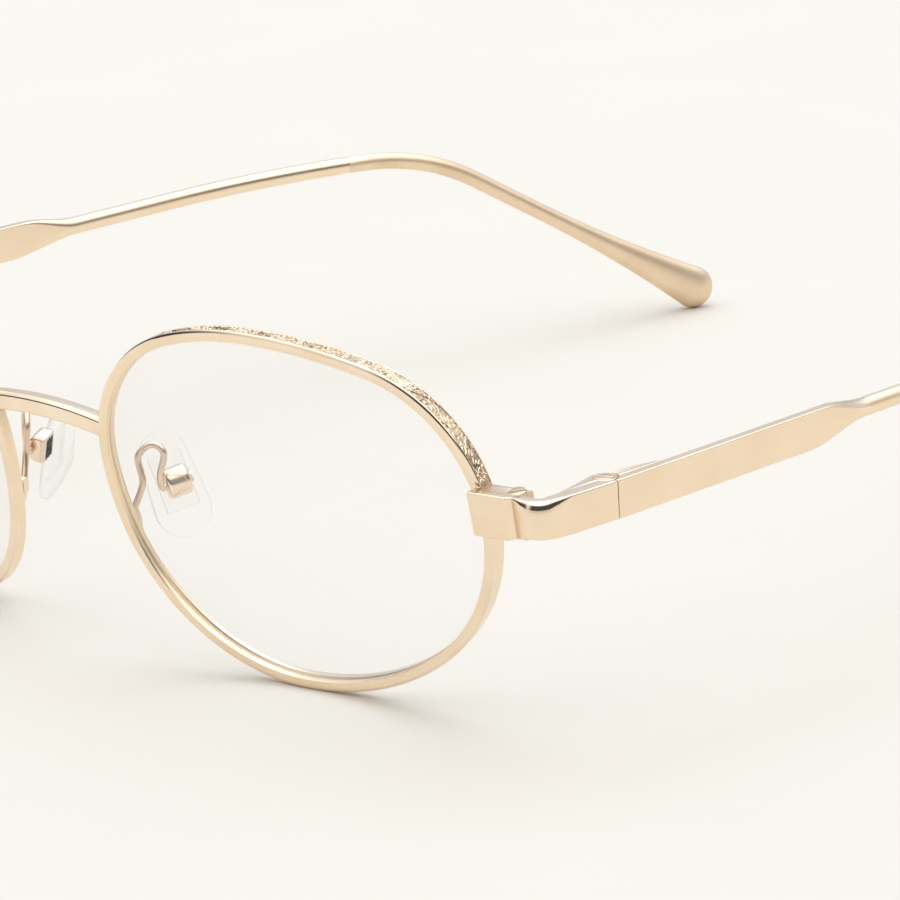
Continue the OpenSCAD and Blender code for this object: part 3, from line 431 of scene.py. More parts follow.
def grow(tree, name, values):
    """Runs a node group with the named inputs and returns its result as a plain mesh."""
    carrier = bpy.data.objects.new(name, bpy.data.meshes.new(name))
    bpy.context.scene.collection.objects.link(carrier)
    modifier = carrier.modifiers.new(name, "NODES")
    modifier.node_group = tree
    for item in tree.interface.items_tree:
        if item.item_type == "SOCKET" and item.in_out == "INPUT" and item.name in values:
            modifier[item.identifier] = values[item.name]
    depsgraph = bpy.context.evaluated_depsgraph_get()
    mesh = bpy.data.meshes.new_from_object(carrier.evaluated_get(depsgraph))
    bpy.data.objects.remove(carrier)
    mesh.materials.clear()
    return mesh


def bend(points, count):
    """Points along a smooth curve through the given ones."""
    p = np.array([points[0], *points, points[-1]], float)
    out = []
    for step in range(count):
        t = step / (count - 1) * (len(points) - 1)
        i = min(int(t), len(points) - 2)
        t -= i
        a, b, c, d = p[i:i + 4]
        out.append(b + (c - a) * t / 2 + (2 * a - 5 * b + 4 * c - d) * t * t / 2
                   + (3 * b - a - 3 * c + d) * t ** 3 / 2)
    return np.array(out)


# the scroll's strokes: path, width, and the share of it that the ends keep
strokes = [
    ([(-1.15, 0), (-0.7, 0.27), (0, 0.40), (0.7, 0.27), (1.15, 0)], 0.15, 0.7),
    ([(-0.55, 0.34), (-0.1, 0.16), (0.04, -0.18), (-0.24, -0.42), (-0.56, -0.24), (-0.36, -0.04)], 0.16, 0.6),
    ([(0.12, 0.40), (0.30, 0.56), (0.62, 0.64)], 0.22, 0),
    ([(-0.30, 0.38), (-0.42, 0.54), (-0.66, 0.64)], 0.20, 0),
    ([(0.04, -0.20), (0.42, -0.30), (0.66, -0.60)], 0.24, 0),
    ([(0.10, 0.06), (0.50, 0.02), (0.86, -0.22)], 0.22, 0),
    ([(-0.50, -0.36), (-0.64, -0.52), (-0.92, -0.62)], 0.20, 0),
    ([(-0.10, -0.42), (0.02, -0.56), (0.24, -0.66)], 0.18, 0),
    ([(-0.80, 0.26), (-0.92, 0.42), (-1.10, 0.58)], 0.18, 0),
    ([(-1.02, -0.06), (-0.86, -0.22), (-0.78, -0.36)], 0.15, 0)]
ridge, ridge_end, buried, stretched = 0.088, 0.03, -0.02, (1.2, 1.0)
points, faces = [], []
for path, width, stem in strokes:
    line = bend(path, 9 if stem else 6) * stretched
    last = len(line) - 1
    for i, spot in enumerate(line):
        on = line[min(i + 1, last)] - line[max(i - 1, 0)]
        side = np.array([-on[1], on[0]]) / np.linalg.norm(on)
        t = i / last
        half = width / 2 * max(0.12, stem + (1 - stem) * math.sin(math.pi * t ** 0.75) ** 0.8)
        points += [(*(spot + side * half), buried), (*spot, ridge if 0 < i < last else ridge_end),
                   (*(spot - side * half), buried)]
    first = len(points) - 3 * (last + 1)
    for i in range(last):
        for k in range(3):
            j = (k + 1) % 3
            faces.append((first + 3 * i + k, first + 3 * i + j, first + 3 * i + 3 + j, first + 3 * i + 3 + k))
    faces += [(first, first + 1, first + 2), (first + 3 * last, first + 3 * last + 1, first + 3 * last + 2)]
scroll = bpy.data.objects.new("scroll", bpy.data.meshes.new("scroll"))
scroll.data.from_pydata(points, [], faces)

scroll_half, scroll_pitch = 0.68, 2.75
bead_r, bead_pitch, bead_start, bead_inset = 0.088, 0.24, 0.1, 0.08
ball = bmesh.new()
bmesh.ops.create_uvsphere(ball, u_segments=8, v_segments=5, radius=bead_r)
bead = bpy.data.objects.new("bead", bpy.data.meshes.new("bead"))
ball.to_mesh(bead.data)
ball.free()

field = [s for s in outline(0.3) if field_start + 0.6 < s[4] < field_end - 0.8]
lip, taper = lip_plain + field_more, rim_taper / taper_run
slope = math.hypot(1, taper)
ahead = np.array([0, 0, 1])
vine_path, vine_out, vine_across, bead_path, bead_out, bead_across = [], [], [], [], [], []
for cu, cv, radius, a, _ in field:
    depth = back_depth(cu + (radius + 1) * math.cos(a))
    foot = depth - foot_in
    mid, half = (lip + foot) / 2, (foot - lip) / 2 - 0.04
    way = np.array([math.cos(a), math.sin(a), 0])
    centre = np.array([cu, cv, 0])
    vine_path.append(centre + way * (radius + wall_out(mid) - field_sink) - ahead * mid)
    vine_out.append((way - ahead * taper) / slope)
    vine_across.append((way * taper + ahead) / slope * half / scroll_half)
    bead_path.append(centre + way * (radius + wall_out(depth) - bead_inset) - ahead * (depth - bead_inset))
    bead_out.append((way - ahead) / math.sqrt(2))
    bead_across.append((way + ahead) / math.sqrt(2))
tree = band_tree()
field_length = float(np.sum(np.linalg.norm(np.diff(np.array(vine_path), axis=0), axis=1)))
units = int(field_length / scroll_pitch)
vine = grow(tree, "vine", {
    "Shape": scroll, "Line": carry("scroll_line", vine_path, vine_out, vine_across), "Count": units,
    "Pitch": field_length / units, "Start": field_length / units / 2, "Alternate turn": math.pi,
    "Material": polished})
beads = grow(tree, "beads", {
    "Shape": bead, "Line": carry("bead_line", bead_path, bead_out, bead_across),
    "Count": int(field_length / bead_pitch), "Pitch": bead_pitch, "Start": bead_start,
    "Alternate turn": 0.0, "Material": polished})


def add_on(name, mesh, beside):
    """A pair of mirrored pieces that ride with a CAD node without standing for it."""
    for side, shape in (("left", mesh), ("right", mirrored(mesh))):
        piece = bpy.data.objects.new(side + "_" + name, shape)
        bpy.context.scene.collection.objects.link(piece)
        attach(piece, frame["nodes"][side + "_" + beside]["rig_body"])


carved = gold("carved_gold", (0.82, 0.67, 0.50), (0.94, 0.81, 0.66), 0.20, speckle=0.5)
add_on("rim_scroll", settle(vine, lens_place, (carved,), 15), "rim")
add_on("rim_beads", settle(beads, lens_place, (polished,), 60), "rim")


# Lenses. Clear resin demo lenses with a slight front curve, an anti-glare
# coat and a V-shaped edge that snaps into the rim's groove.
glass = bpy.data.materials.new("lens_resin")
glass.use_nodes = True
tree = glass.node_tree
shader = tree.nodes["Principled BSDF"]
where = put(tree, "ShaderNodeTexCoord").outputs["Object"]
haze = put(tree, "ShaderNodeTexNoise", {"Scale": 60.0, "Detail": 2.0}, {"Vector": where}).outputs["Fac"]
tint = ramp(tree, haze, [(0.3, (0.93, 0.95, 0.93)), (0.7, (0.95, 0.94, 0.96))])
tree.links.new(tint, shader.inputs["Base Color"])
smear = put(tree, "ShaderNodeMapRange", {3: 0.02, 4: 0.05}, {0: haze}).outputs[0]
tree.links.new(smear, shader.inputs["Roughness"])
grazing = put(tree, "ShaderNodeLayerWeight", {"Blend": 0.25}).outputs["Facing"]
seen = put(tree, "ShaderNodeMapRange", {3: 0.015, 4: 0.25}, {0: grazing}).outputs[0]
tree.links.new(seen, shader.inputs["Alpha"])
shader.inputs["IOR"].default_value = 1.5
shader.inputs["Specular IOR Level"].default_value = 0.25

bulge, front_r, back_r = 0.6, 400, 398.5
lens_gap, bevel_reach = 0.04, 0.42
bevel_front, bevel_tip, bevel_back = -0.58, -0.85, -1.12


def opening(out):
    """Points round the lens opening, moved outward by a distance."""
    return [(s[0] + (s[2] + out) * math.cos(s[3]), s[1] + (s[2] + out) * math.sin(s[3])) for s in outline(1.0)]


def curve_at(u, v, radius):
    """The depth of the lens's front or back curve at a place."""
    return bulge - front_r + math.sqrt(radius * radius - u * u - v * v)


lens_edge, lens_tip = opening(-lens_gap), opening(bevel_reach)
layers = []
for part in (0.02, 0.25, 0.5, 0.75, 0.92, 0.995):
    layers.append([(u * part, v * part, curve_at(u * part, v * part, front_r)) for u, v in lens_edge])
layers.append([(u, v, min(bevel_front, curve_at(u, v, front_r) - 0.04)) for u, v in lens_edge])
layers.append([(u, v, bevel_front if curve_at(u, v, front_r) > -0.5 else curve_at(u, v, front_r) - 0.08)
               for u, v in lens_edge])
layers.append([(u, v, bevel_tip) for u, v in lens_tip])
layers.append([(u, v, bevel_back) for u, v in lens_edge])
for part in (0.995, 0.92, 0.75, 0.5, 0.25, 0.02):
    layers.append([(u * part, v * part, curve_at(u * part, v * part, back_r)) for u, v in lens_edge])
both_sides("lens_resin", settle(loft("lens", layers), lens_place, (glass,), 25), "lens", "lens")


# Bridge. One arched bar soldered between the rims, flat in front, with a
# polished bevel along its upper front edge.
arch_r, half_span, bridge_up = 80, 6.75, 8.6
bar_high, bar_deep, bevel_high, bevel_deep = 2.1, 1.9, 0.42, 0.40
rings = []
for i in range(41):
    a = math.radians(-half_span + 2 * half_span * i / 40)
    corners = [(arch_r - bar_high, 0), (arch_r - bevel_high, 0), (arch_r, -bevel_deep), (arch_r, -bar_deep),
               (arch_r - bar_high, -bar_deep)]
    ring = rounded([(r, n, 0) for r, n in corners], (0.3, 0.12, 0.12, 0.3, 0.3))
    rings.append([(r * math.sin(a), -n, r * math.cos(a)) for r, n, _ in ring])
join = lens_place @ Vector((-26.3, bridge_up - bar_high / 2, -0.35))
bridge_place = Matrix.Translation((0, join.y, lens_height + bridge_up - arch_r))
bridge_mesh = settle(loft("bridge", rings, lambda i, k: 1 if 4 <= k <= 13 else 0),
                     bridge_place, (satin, polished), 25)
wear_on("bridge_bar", bridge_mesh, "frame_metal", "bridge")


# Rim locks and their screws. Each rim closes round its lens with two small
# milled blocks, soldered to the rim above and below the split and drawn
# together by one slotted screw from the top. Their edges are broken.
def softened(node, width, materials, slot, name):
    """A CAD piece's own shape with its edges broken by a width in millimetres."""
    mesh = frame["nodes"][node].data.copy()
    work = bmesh.new()
    work.from_mesh(mesh)
    bmesh.ops.remove_doubles(work, verts=work.verts, dist=2e-6)
    bmesh.ops.dissolve_limit(work, angle_limit=math.radians(0.6), verts=work.verts, edges=work.edges)
    work.to_mesh(mesh)
    work.free()
    while mesh.uv_layers:
        mesh.uv_layers.remove(mesh.uv_layers[0])
    mesh.uv_layers.new(name="UVMap")
    carrier = bpy.data.objects.new(name, mesh)
    bpy.context.scene.collection.objects.link(carrier)
    bevel = carrier.modifiers.new("edges", "BEVEL")
    bevel.width = width * 0.001
    bevel.segments = 2
    bevel.limit_method = "ANGLE"
    bevel.angle_limit = math.radians(32)
    bevel.use_clamp_overlap = True
    result = bpy.data.meshes.new_from_object(carrier.evaluated_get(bpy.context.evaluated_depsgraph_get()))
    bpy.data.objects.remove(carrier)
    result.materials.clear()
    for material in materials:
        result.materials.append(material)
    result.polygons.foreach_set("material_index", [0] * len(result.polygons))
    result.shade_smooth()
    result.set_sharp_from_angle(angle=math.radians(35))
    wear_on(name, result, slot, node)


screw_gold = gold("screw_gold", (0.70, 0.55, 0.38), (0.82, 0.67, 0.49), 0.32, speckle=0.3)
for side in ("left", "right"):
    for half in ("upper", "lower"):
        softened(f"{side}_rim_lock_{half}", 0.06, (satin,), "frame_metal", f"{side}_lock_block_{half}")
    softened(f"{side}_rim_screw", 0.03, (screw_gold,), "screw_metal", f"{side}_lock_screw_slotted")


# Endpieces. One bar each, milled square as the block on the front, creased
# at the block's outer edge and bent through the corner into a strap that
# ends at the hinge. Its upper front edge is rounded off and polished.
def block_corner(u, n, z):
    """The point of the block at a width, a depth and a true height."""
    lean = math.radians(lens_tilt)
    v = (z - lens_height + n * math.sin(lean)) / math.cos(lean)
    return placed.inverted() @ lens_place @ Vector((u, v, n))


def smooth(t):
    """An eased step from 0 to 1."""
    t = min(max(t, 0), 1)
    return t * t * (3 - 2 * t)


strap_top, strap_low, block_low, block_deep = 28.4484, 24.1484, 23.3484, 1.6
hinge_plan = (67.3819, 14.2029)
crease_u, crease_x, strap_x, strap_thick = 28, 64.9, 65.2, 1.75
sections = []
for u, shrink, back in ((25.15, 0.12, 0), (25.19, 0.04, 0), (25.30, 0, 0), (26.2, 0, 0), (26.45, 0, 0),
                        (28.0, 0, 0), (29.5, 0, 0), (29.95, 0, 0), (30.08, 0, 0.02), (30.2, 0, 0.06),
                        (30.3, 0, 0.12), (30.36, 0, 0.19)):
    rear = 0.04 if u < 26.3 else 0.54
    z = (strap_top - shrink, block_low + shrink + 0.7 * back)
    slant = u - 0.5 * smooth((u - crease_u) / 2.36)
    front = block_deep - shrink - back
    corners = [block_corner(u, front, z[0]), block_corner(slant, front, z[1]),
               block_corner(slant, rear + shrink, z[1]), block_corner(u, rear + shrink, z[0])]
    sections.append((corners, (0.24, 0.16, 0.1, 0.1)))
# the strap's outer line seen from above, with its thickness
plan = [(64.93, 2.83, 1.0), (65.06, 2.87, 1.0), (65.2, 2.86, 1.05), (65.4, 2.82, 1.2), (65.7, 2.76, 1.55),
        (66.1, 2.70, 1.71), (66.6, 2.663, strap_thick), (67.18, 2.653, strap_thick)]
plan += [(67.18 + 2.297 * math.sin(a), 4.953 - 2.3 * math.cos(a), strap_thick)
         for a in np.radians(np.arange(7.5, 90, 7.5))]
plan += [(69.477, y, strap_thick) for y in (4.953, 5.6, 6.4, 7.5, 9.0, 11.0, 12.5, 13.6, 14.15)]
plan += [(69.475, 14.19, 1.745), (69.465, 14.2, 1.725)]
for i, (x, y, thick) in enumerate(plan):
    before, after = plan[max(i - 1, 0)], plan[min(i + 1, len(plan) - 1)]
    way = math.atan2(after[1] - before[1], after[0] - before[0])
    if i <= 6:
        way = math.radians(1)
    if i >= len(plan) - 3:
        way = math.pi / 2
    inward = (-math.sin(way) * thick, math.cos(way) * thick)
    tip_back = 0.2071 * (1 - smooth((x - strap_x) / 1.9))
    z_low = block_low + 0.2 + 0.9 * smooth((x - crease_x) / 2.0)
    if y > 3.5 or x > 67.0:
        past = max(0, x - strap_x) if y < 4 else 4.3 + y - 4.9
        z_low = strap_low + 0.3 * (1 - smooth((past - 1.5) / 5.5))
    end = 0.012 * max(0, i - (len(plan) - 3))
    corners = []
    for z, inner in ((strap_top - end, 0), (z_low + end, 0), (z_low + end, 1), (strap_top - end, 1)):
        drop = (strap_top - z) * tip_back
        slant = 0.5 * (1 - smooth((x - crease_x) / 1.2)) * (strap_top - z) / (strap_top - block_low)
        corners.append((x - slant + inner * inward[0], y + drop + inner * inward[1], z))
    swell = smooth((x - crease_x) / 2.2) * (1 - smooth((y - 4.2) / 3.4))
    tall, wide = 0.22 + 1.3 * swell, 0.20 + 0.36 * swell
    sections.append((corners, ((wide, tall), 0.20, 0.12, 0.12)))
strap_steps, crease_ring = 8, 14
rings = [rounded(corners, radii, strap_steps) for corners, radii in sections]
middles = np.array(rings).mean(axis=1)
crease = float(np.sum(np.linalg.norm(np.diff(middles[:crease_ring + 1], axis=0), axis=1)))
# Painted shade: near the crease a brown tone is mixed into the satin's colour, standing in for the shade that gathers
# in the fold.
creased = satin.copy()
creased.name = "creased_gold"
tree = creased.node_tree
shader = tree.nodes["Principled BSDF"]
length = put(tree, "ShaderNodeSeparateXYZ", links={0: put(tree, "ShaderNodeTexCoord").outputs["UV"]}).outputs[0]
near = put(tree, "ShaderNodeMapRange", {1: crease - 0.5, 2: crease + 1.0}, {0: length}).outputs[0]
painted_crease_shade = ramp(tree, near, [(0.0, 0.0), (0.22, 0.0), (0.34, 0.45), (0.55, 0.28), (1.0, 0.0)])
plain = shader.inputs["Base Color"].links[0].from_socket
tree.links.new(mixed(tree, painted_crease_shade, plain, (0.40, 0.25, 0.15)), shader.inputs["Base Color"])
strap_mesh = loft("strap", rings, lambda i, k: 1 if k < 6 else 0)


def lathe(name, profile, sides=64):
    """A turned solid about Z from (radius, height) points, for cutting the knuckle seats."""
    angles = [2 * math.pi * k / sides for k in range(sides)]
    return loft(name, [[(radius * math.cos(a), radius * math.sin(a), z) for a in angles] for radius, z in profile])


def cut_by(mesh, place, materials, cutter_mesh, cutter_place, angle=28):
    """Settles a mesh in its place and cuts another shape out of it."""
    settle(mesh, place, materials, angle)
    settle(cutter_mesh, cutter_place, (), angle)
    body = bpy.data.objects.new("body", mesh)
    tool = bpy.data.objects.new("tool", cutter_mesh)
    for item in (body, tool):
        bpy.context.scene.collection.objects.link(item)
    boolean = body.modifiers.new("seat", "BOOLEAN")
    boolean.object = tool
    boolean.solver = "EXACT"
    result = bpy.data.meshes.new_from_object(body.evaluated_get(bpy.context.evaluated_depsgraph_get()))
    for item in (body, tool):
        bpy.data.objects.remove(item)
    result.set_sharp_from_angle(angle=math.radians(angle))
    return result


knuckle_low, knuckle_high, seat_wide, seat_narrow = 25.5484, 27.0484, 1.70, 1.47
seats = lathe("seats", [(0.01, 20), (seat_narrow, 20), (seat_narrow, knuckle_low), (seat_wide, knuckle_low + 0.001),
                        (seat_wide, knuckle_high), (seat_narrow, knuckle_high + 0.001), (seat_narrow, 32),
                        (0.01, 32)])
hinge_axis = placed @ Matrix.Translation((*hinge_plan, 0))
strap_mesh = cut_by(strap_mesh, placed, (creased, polished), seats, hinge_axis)
both_sides("endpiece_bar", strap_mesh, "frame_metal", "endpiece")


# Hinges. Three-knuckle hinges with tapered leaves soldered inside the strap
# and inside the temple, and one slotted screw as the pin.
for side in ("left", "right"):
    softened(f"{side}_hinge_front", 0.07, (satin,), "frame_metal", f"{side}_hinge_leaf_front")
    softened(f"{side}_hinge_rear", 0.07, (satin,), "frame_metal", f"{side}_hinge_leaf_rear")
    softened(f"{side}_hinge_screw", 0.10, (screw_gold,), "screw_metal", f"{side}_hinge_pin_screw")


# Temples. A flat strip with a polished bevel along its upper outer edge,
# which narrows through a neck to a round rod. The rod runs straight, then
# bows gently inward to the seam where the tip is fitted.
temple_place = placed @ Matrix.Translation((*hinge_plan, 0)) @ Matrix.Rotation(math.radians(2.35), 4, "Z")
rod_x, rod_height, bow_start, bow_r, bow_angle = 1.01, 26.5484, 56.1, 95, 15.6
strip_out, strip_in, temple_steps, neck_end = 2.1, 0.9, 7, 33
rings = []
ys = [0.015, 0.025, 0.04, 0.5, 1.2, 2.2, 4, 8, 14, 20, 26, 29, *np.arange(30, 40.6, 0.5), 42, 46, 52, 56]
for i, y in enumerate(ys):
    under = smooth((y - 30) / 10.5)
    over = smooth((y - 33.5) / 7.0)
    side = smooth((y - 31) / 9.0)
    end = (0.02, 0.006, 0)[i] if i < 3 else 0
    z = (strap_top - end - 0.81 * over, strap_low + end + 1.35 * under)
    x = (strip_out - end - 0.04 * side, strip_in + end - 0.94 * side)
    top_soft, soft = 0.18 + 0.86 * side, 0.14 + 0.90 * side
    limit = min(x[0] - x[1], z[0] - z[1]) / 2 - 0.005
    radii = [min(r, limit) for r in (top_soft, soft, soft, soft)]
    rings.append(rounded([(x[0], y, z[0]), (x[0], y, z[1]), (x[1], y, z[1]), (x[1], y, z[0])],
                         radii, temple_steps))
circle = [(p[0] - rod_x, p[2] - rod_height) for p in rings[-1]]
for step in range(1, 17):
    a = math.radians(bow_angle * step / 16)
    slim = 0.93 if step == 16 else 1
    rings.append([(rod_x - bow_r + (bow_r + c * slim) * math.cos(a), bow_start + (bow_r + c * slim) * math.sin(a),
                   rod_height + d * slim) for c, d in circle])
temple_mesh = loft("temple", rings, lambda i, k: 1 if k < temple_steps and i < neck_end else 0)
pockets = lathe("pockets", [(0.01, 20), (seat_wide, 20), (seat_wide, knuckle_low), (seat_narrow, knuckle_low + 0.001),
                            (seat_narrow, knuckle_high), (seat_wide, knuckle_high + 0.001), (seat_wide, 32),
                            (0.01, 32)])
temple_mesh = cut_by(temple_mesh, temple_place, (satin, polished), pockets, hinge_axis)
both_sides("temple_bar", temple_mesh, "frame_metal", "temple")


# Temple tips. Gold metal sleeves over the rod's end: they bend down behind
# the ear and flare to a flat, rounded paddle. A fine seam marks their start.
tip_gold = gold("tip_gold", (0.84, 0.65, 0.45), (0.91, 0.74, 0.54), 0.46, brush=0.2, speckle=0.08)
tip_place = (temple_place @ Matrix.Translation((-2.48956, 81.6474, rod_height))
             @ Matrix.Rotation(math.radians(bow_angle), 4, "Z"))
ear, ear_r, ear_start = math.radians(32), 30, 2
tip_run, flare_len, nose_len = 36.17, 26, 2.95
sleeve_r, paddle_wide, paddle_high = 1.05, 0.35, 1.70


def past_ear(run):
    """The sleeve's middle at a run past the ear bend, with its slope."""
    return (ear_start + ear_r * math.sin(ear) + run * math.cos(ear),
            -ear_r * (1 - math.cos(ear)) - run * math.sin(ear), ear)


spine = [(0.02, 0, 0, 0.93, 0.93), (0.10, 0, 0, 0.99, 0.99), (0.22, 0, 0, sleeve_r, sleeve_r),
         (1.2, 0, 0, sleeve_r, sleeve_r)]
for i in range(17):
    a = ear * i / 16
    spine.append((ear_start + ear_r * math.sin(a), -ear_r * (1 - math.cos(a)), a, sleeve_r, sleeve_r))
for i in range(1, 31):
    run = tip_run * i / 30
    swell = max(0, 1 - (tip_run - run) / flare_len) ** 2
    spine.append((*past_ear(run), sleeve_r + paddle_wide * swell, sleeve_r + paddle_high * swell))
for i in range(1, 13):
    a = math.radians(88 * i / 12)
    spine.append((*past_ear(tip_run + nose_len * math.sin(a)),
                  (sleeve_r + paddle_wide) * math.cos(a), (sleeve_r + paddle_high) * math.cos(a)))
rings = []
for y, z, a, wide, tall in spine:
    rings.append([(-wide * math.cos(t), y + tall * math.sin(t) * math.sin(a), z + tall * math.sin(t) * math.cos(a))
                  for t in np.radians(np.arange(0, 360, 11.25))])
both_sides("tip_sleeve", settle(loft("tip", rings), tip_place, (tip_gold,)), "tip_metal", "temple_tip")


# Nose pad arms. Round wire, hammered to a pointed foot that is soldered
# behind the rim, then looped up and back to the side of the pad box.
wire_gold = gold("wire_gold", (0.72, 0.54, 0.42), (0.82, 0.65, 0.52), 0.28, brush=0.2, speckle=0.1)
wire_r, path_count = 0.39, 73
pad_place = (placed @ Matrix.Translation((9.82664, 3.61919, 19.9369)) @ Matrix.Rotation(math.radians(-26), 4, "Z")
             @ Matrix.Rotation(math.radians(-15), 4, "Y") @ Matrix.Rotation(math.radians(14), 4, "X"))
foot = np.array((9.42664, -1.88081, 17.9369))
in_box = placed.inverted() @ pad_place
ends = [np.array(in_box @ Vector((2.75, y, 0))) for y in (-1.95, -1.40)]
wire = [foot + np.array(p) for p in ((0, 0, 0), (0.6, 1, 2.9), (0.1, 1, 5.8), (1.3, 2, 7.2), (2.5, 2.7, 6.3),
                                     (2.1, 2.3, 3.7))]
path = bend(wire + ends, path_count)
rings = []
side = np.array((0.8, -0.6, 0.0))
for i, spot in enumerate(path):
    way = path[min(i + 1, path_count - 1)] - path[max(i - 1, 0)]
    way /= np.linalg.norm(way)
    side = side - way * side.dot(way)
    side /= np.linalg.norm(side)
    up = np.cross(way, side)
    rings.append([spot + wire_r * (side * math.cos(t) + up * math.sin(t))
                  for t in np.radians(np.arange(0, 360, 22.5))])
arm_mesh = settle(loft("arm", rings), placed, (wire_gold,), 50)
nasal_u, nasal_v, nasal_r = arcs[5][:3]
foot_a, foot_r, foot_half = math.radians(16.5), nasal_r + 0.65, 2.08
foot_u, foot_v = nasal_u - foot_r * math.cos(foot_a), nasal_v - foot_r * math.sin(foot_a)
rings = []
for i in range(25):
    t = i / 24
    spread = 0.05 + 0.50 * math.sin(math.pi / 2 * min(1, t / 0.75)) * (1 - 0.35 * smooth((t - 0.8) / 0.2))
    rise = 0.10 + 0.78 * smooth(t / 0.8) * (1 - 0.3 * smooth((t - 0.85) / 0.15))
    along = -foot_half + 2 * foot_half * t
    base = -back_depth(foot_u) + 0.01
    crown = min(spread, rise) * 0.7
    ring = rounded([(-spread, 0, base), (spread, 0, base), (spread, 0, base - rise), (-spread, 0, base - rise)],
                   [0.01, 0.01, crown, crown])
    rings.append([(foot_u + p[0] * math.cos(foot_a) - along * math.sin(foot_a),
                   foot_v + p[0] * math.sin(foot_a) + along * math.cos(foot_a), p[2]) for p in ring])
foot_mesh = settle(loft("foot", rings), lens_place, (satin,), 40)
foot_mesh.polygons.foreach_set("material_index", [1] * len(foot_mesh.polygons))
work = bmesh.new()
work.from_mesh(arm_mesh)
work.from_mesh(foot_mesh)
arm_all = bpy.data.meshes.new("arm_all")
arm_all.materials.append(wire_gold)
arm_all.materials.append(satin)
work.to_mesh(arm_all)
work.free()
both_sides("pad_wire", arm_all, "frame_metal", "pad_arm")


# Pad boxes and their screws. Small cups with a rounded back, brazed on the
# wire, where a slotted screw holds the pad's lug loosely enough to rock.
box_gold = gold("box_gold", (0.86, 0.68, 0.51), (0.93, 0.77, 0.60), 0.15, brush=0.1, speckle=0.1)
cup_x, half_deep, half_high = 1.15, 1.1, 1.7
cups = []
for y, inset in ((-1.4, 0.42), (-1.36, 0.27), (-1.26, 0.13), (-1.1, 0.04), (-0.92, 0), (0.92, 0), (1.1, 0.04),
                 (1.26, 0.13), (1.36, 0.27), (1.4, 0.42)):
    ring = rounded([(cup_x, 0, half_high), (cup_x + 2 * half_deep, 0, half_high),
                    (cup_x + 2 * half_deep, 0, -half_high), (cup_x, 0, -half_high)],
                   (0.2, (1.1, 1.69), (1.69, 1.1), 0.2), 9)
    cups.append([(cup_x + half_deep + (x - cup_x - half_deep) * (1 - inset / half_deep), y,
                  z * (1 - inset / half_high)) for x, _, z in ring])
hollow = []
for y in (-0.85, 0, 0.85):
    hollow.append([(x, y, z) for x, _, z in rounded(
        [(cup_x - 0.5, 0, 1.3), (cup_x + 1.85, 0, 1.3), (cup_x + 1.85, 0, -1.3), (cup_x - 0.5, 0, -1.3)],
        (0.01, (0.75, 1.2), (1.2, 0.75), 0.01), 6)])
cup_mesh = cut_by(loft("cup", cups), pad_place, (box_gold,), loft("hollow", hollow), pad_place)
both_sides("pad_cup", cup_mesh, "frame_metal", "pad_box")
for side in ("left", "right"):
    softened(f"{side}_pad_screw", 0.025, (screw_gold,), "screw_metal", f"{side}_pad_cup_screw")


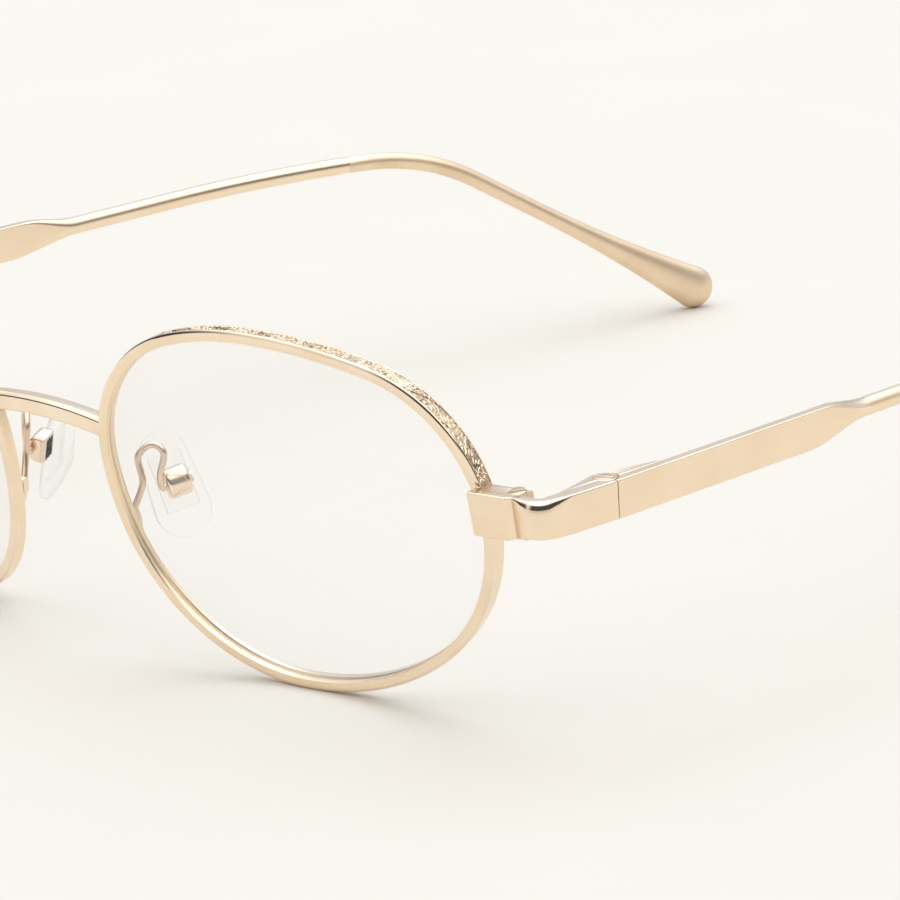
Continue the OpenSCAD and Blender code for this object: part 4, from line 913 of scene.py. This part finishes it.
# Nose pads. Soft clear silicone moulded round a clear hard core with a lug:
# crowned towards the nose, rounded at the edge, flat behind.
def clear(name, edge, index):
    """A clear, faintly clouded moulding with painted grey shade on its edges where seen edge-on, as opaque as the
    given amount.
    """
    material = bpy.data.materials.new(name)
    material.use_nodes = True
    tree = material.node_tree
    shader = tree.nodes["Principled BSDF"]
    where = put(tree, "ShaderNodeTexCoord").outputs["Object"]
    cloud = put(tree, "ShaderNodeTexNoise", {"Scale": 700.0, "Detail": 3.0}, {"Vector": where}).outputs["Fac"]
    tone = ramp(tree, cloud, [(0.3, (0.86, 0.88, 0.88)), (0.7, (0.94, 0.95, 0.95))])
    # painted shade: the colour turns grey and more opaque where the surface is seen edge-on
    grazing = put(tree, "ShaderNodeLayerWeight", {"Blend": 0.45}).outputs["Facing"]
    rim = ramp(tree, grazing, [(0.5, 0.0), (0.9, 1.0)])
    tree.links.new(mixed(tree, rim, tone, (0.60, 0.62, 0.63)), shader.inputs["Base Color"])
    seen = ramp(tree, grazing, [(0.3, 0.02), (0.65, 0.2 * edge), (0.95, edge)])
    tree.links.new(seen, shader.inputs["Alpha"])
    smear = put(tree, "ShaderNodeMapRange", {3: 0.12, 4: 0.22}, {0: cloud}).outputs[0]
    tree.links.new(smear, shader.inputs["Roughness"])
    shader.inputs["IOR"].default_value = index
    bumpy = put(tree, "ShaderNodeBump", {"Strength": 0.1, "Distance": 0.00002}, {"Height": cloud}).outputs[0]
    tree.links.new(bumpy, shader.inputs["Normal"])
    return material


# the pad's egg-shaped outline: two arcs, each with centre, radius, start and sweep
skew = math.asin((3.2 - 2.7) / 6.4)
egg = []
for centre, radius, start, sweep in ((3.2, 2.69, skew, math.pi - 2 * skew),
                                     (-3.2, 3.19, math.pi - skew, math.pi + 2 * skew)):
    for k in range(37):
        a = start + sweep * k / 36
        egg.append((radius * math.cos(a), centre + radius * math.sin(a)))
crown_middle, crown_r = 12.7, 14.0
core_y, core_z, core_share, core_front, pad_back = 1.92, 3.22, 0.93, 0.14, 0.70


def crowned(y, z):
    """The depth of the pad's crowned face at a place."""
    return crown_middle - math.sqrt(crown_r * crown_r - y * y - z * z)


rings = []
for part in (0.03, 0.3, 0.55, 0.78, 0.92, 0.985):
    rings.append([(crowned(y * part, z * part), y * part, z * part) for y, z in egg])
rings.append([(crowned(y, z) + 0.06, y * 0.998, z * 0.998) for y, z in egg])
rings.append([(max(crowned(y, z) + 0.12, 0.42), y, z) for y, z in egg])
rings.append([(0.60, y * 0.99, z * 0.995) for y, z in egg])
rings.append([(0.695, y * 0.94, z * 0.97) for y, z in egg])
pocket = []
for y, z in egg:
    reach = min(core_y / max(abs(y), 1e-6), core_z / max(abs(z), 1e-6), core_share)
    pocket.append((y * reach, z * reach))
rings.append([(pad_back, y, z) for y, z in pocket])
rings.append([(core_front, y, z) for y, z in pocket])
rings.append([(core_front - 0.01, y * 0.02, z * 0.02) for y, z in pocket])
silicone = clear("clear_silicone", 0.65, 1.41)
pad_mesh = settle(loft("pad", rings), pad_place, (silicone,), 40)
both_sides("silicone_pad", pad_mesh, "pad_silicone", "nose_pad")
core = clear("clear_core", 0.1, 1.45)
for side in ("left", "right"):
    softened(f"{side}_pad_insert", 0.05, (core,), "pad_plate", f"{side}_pad_core")
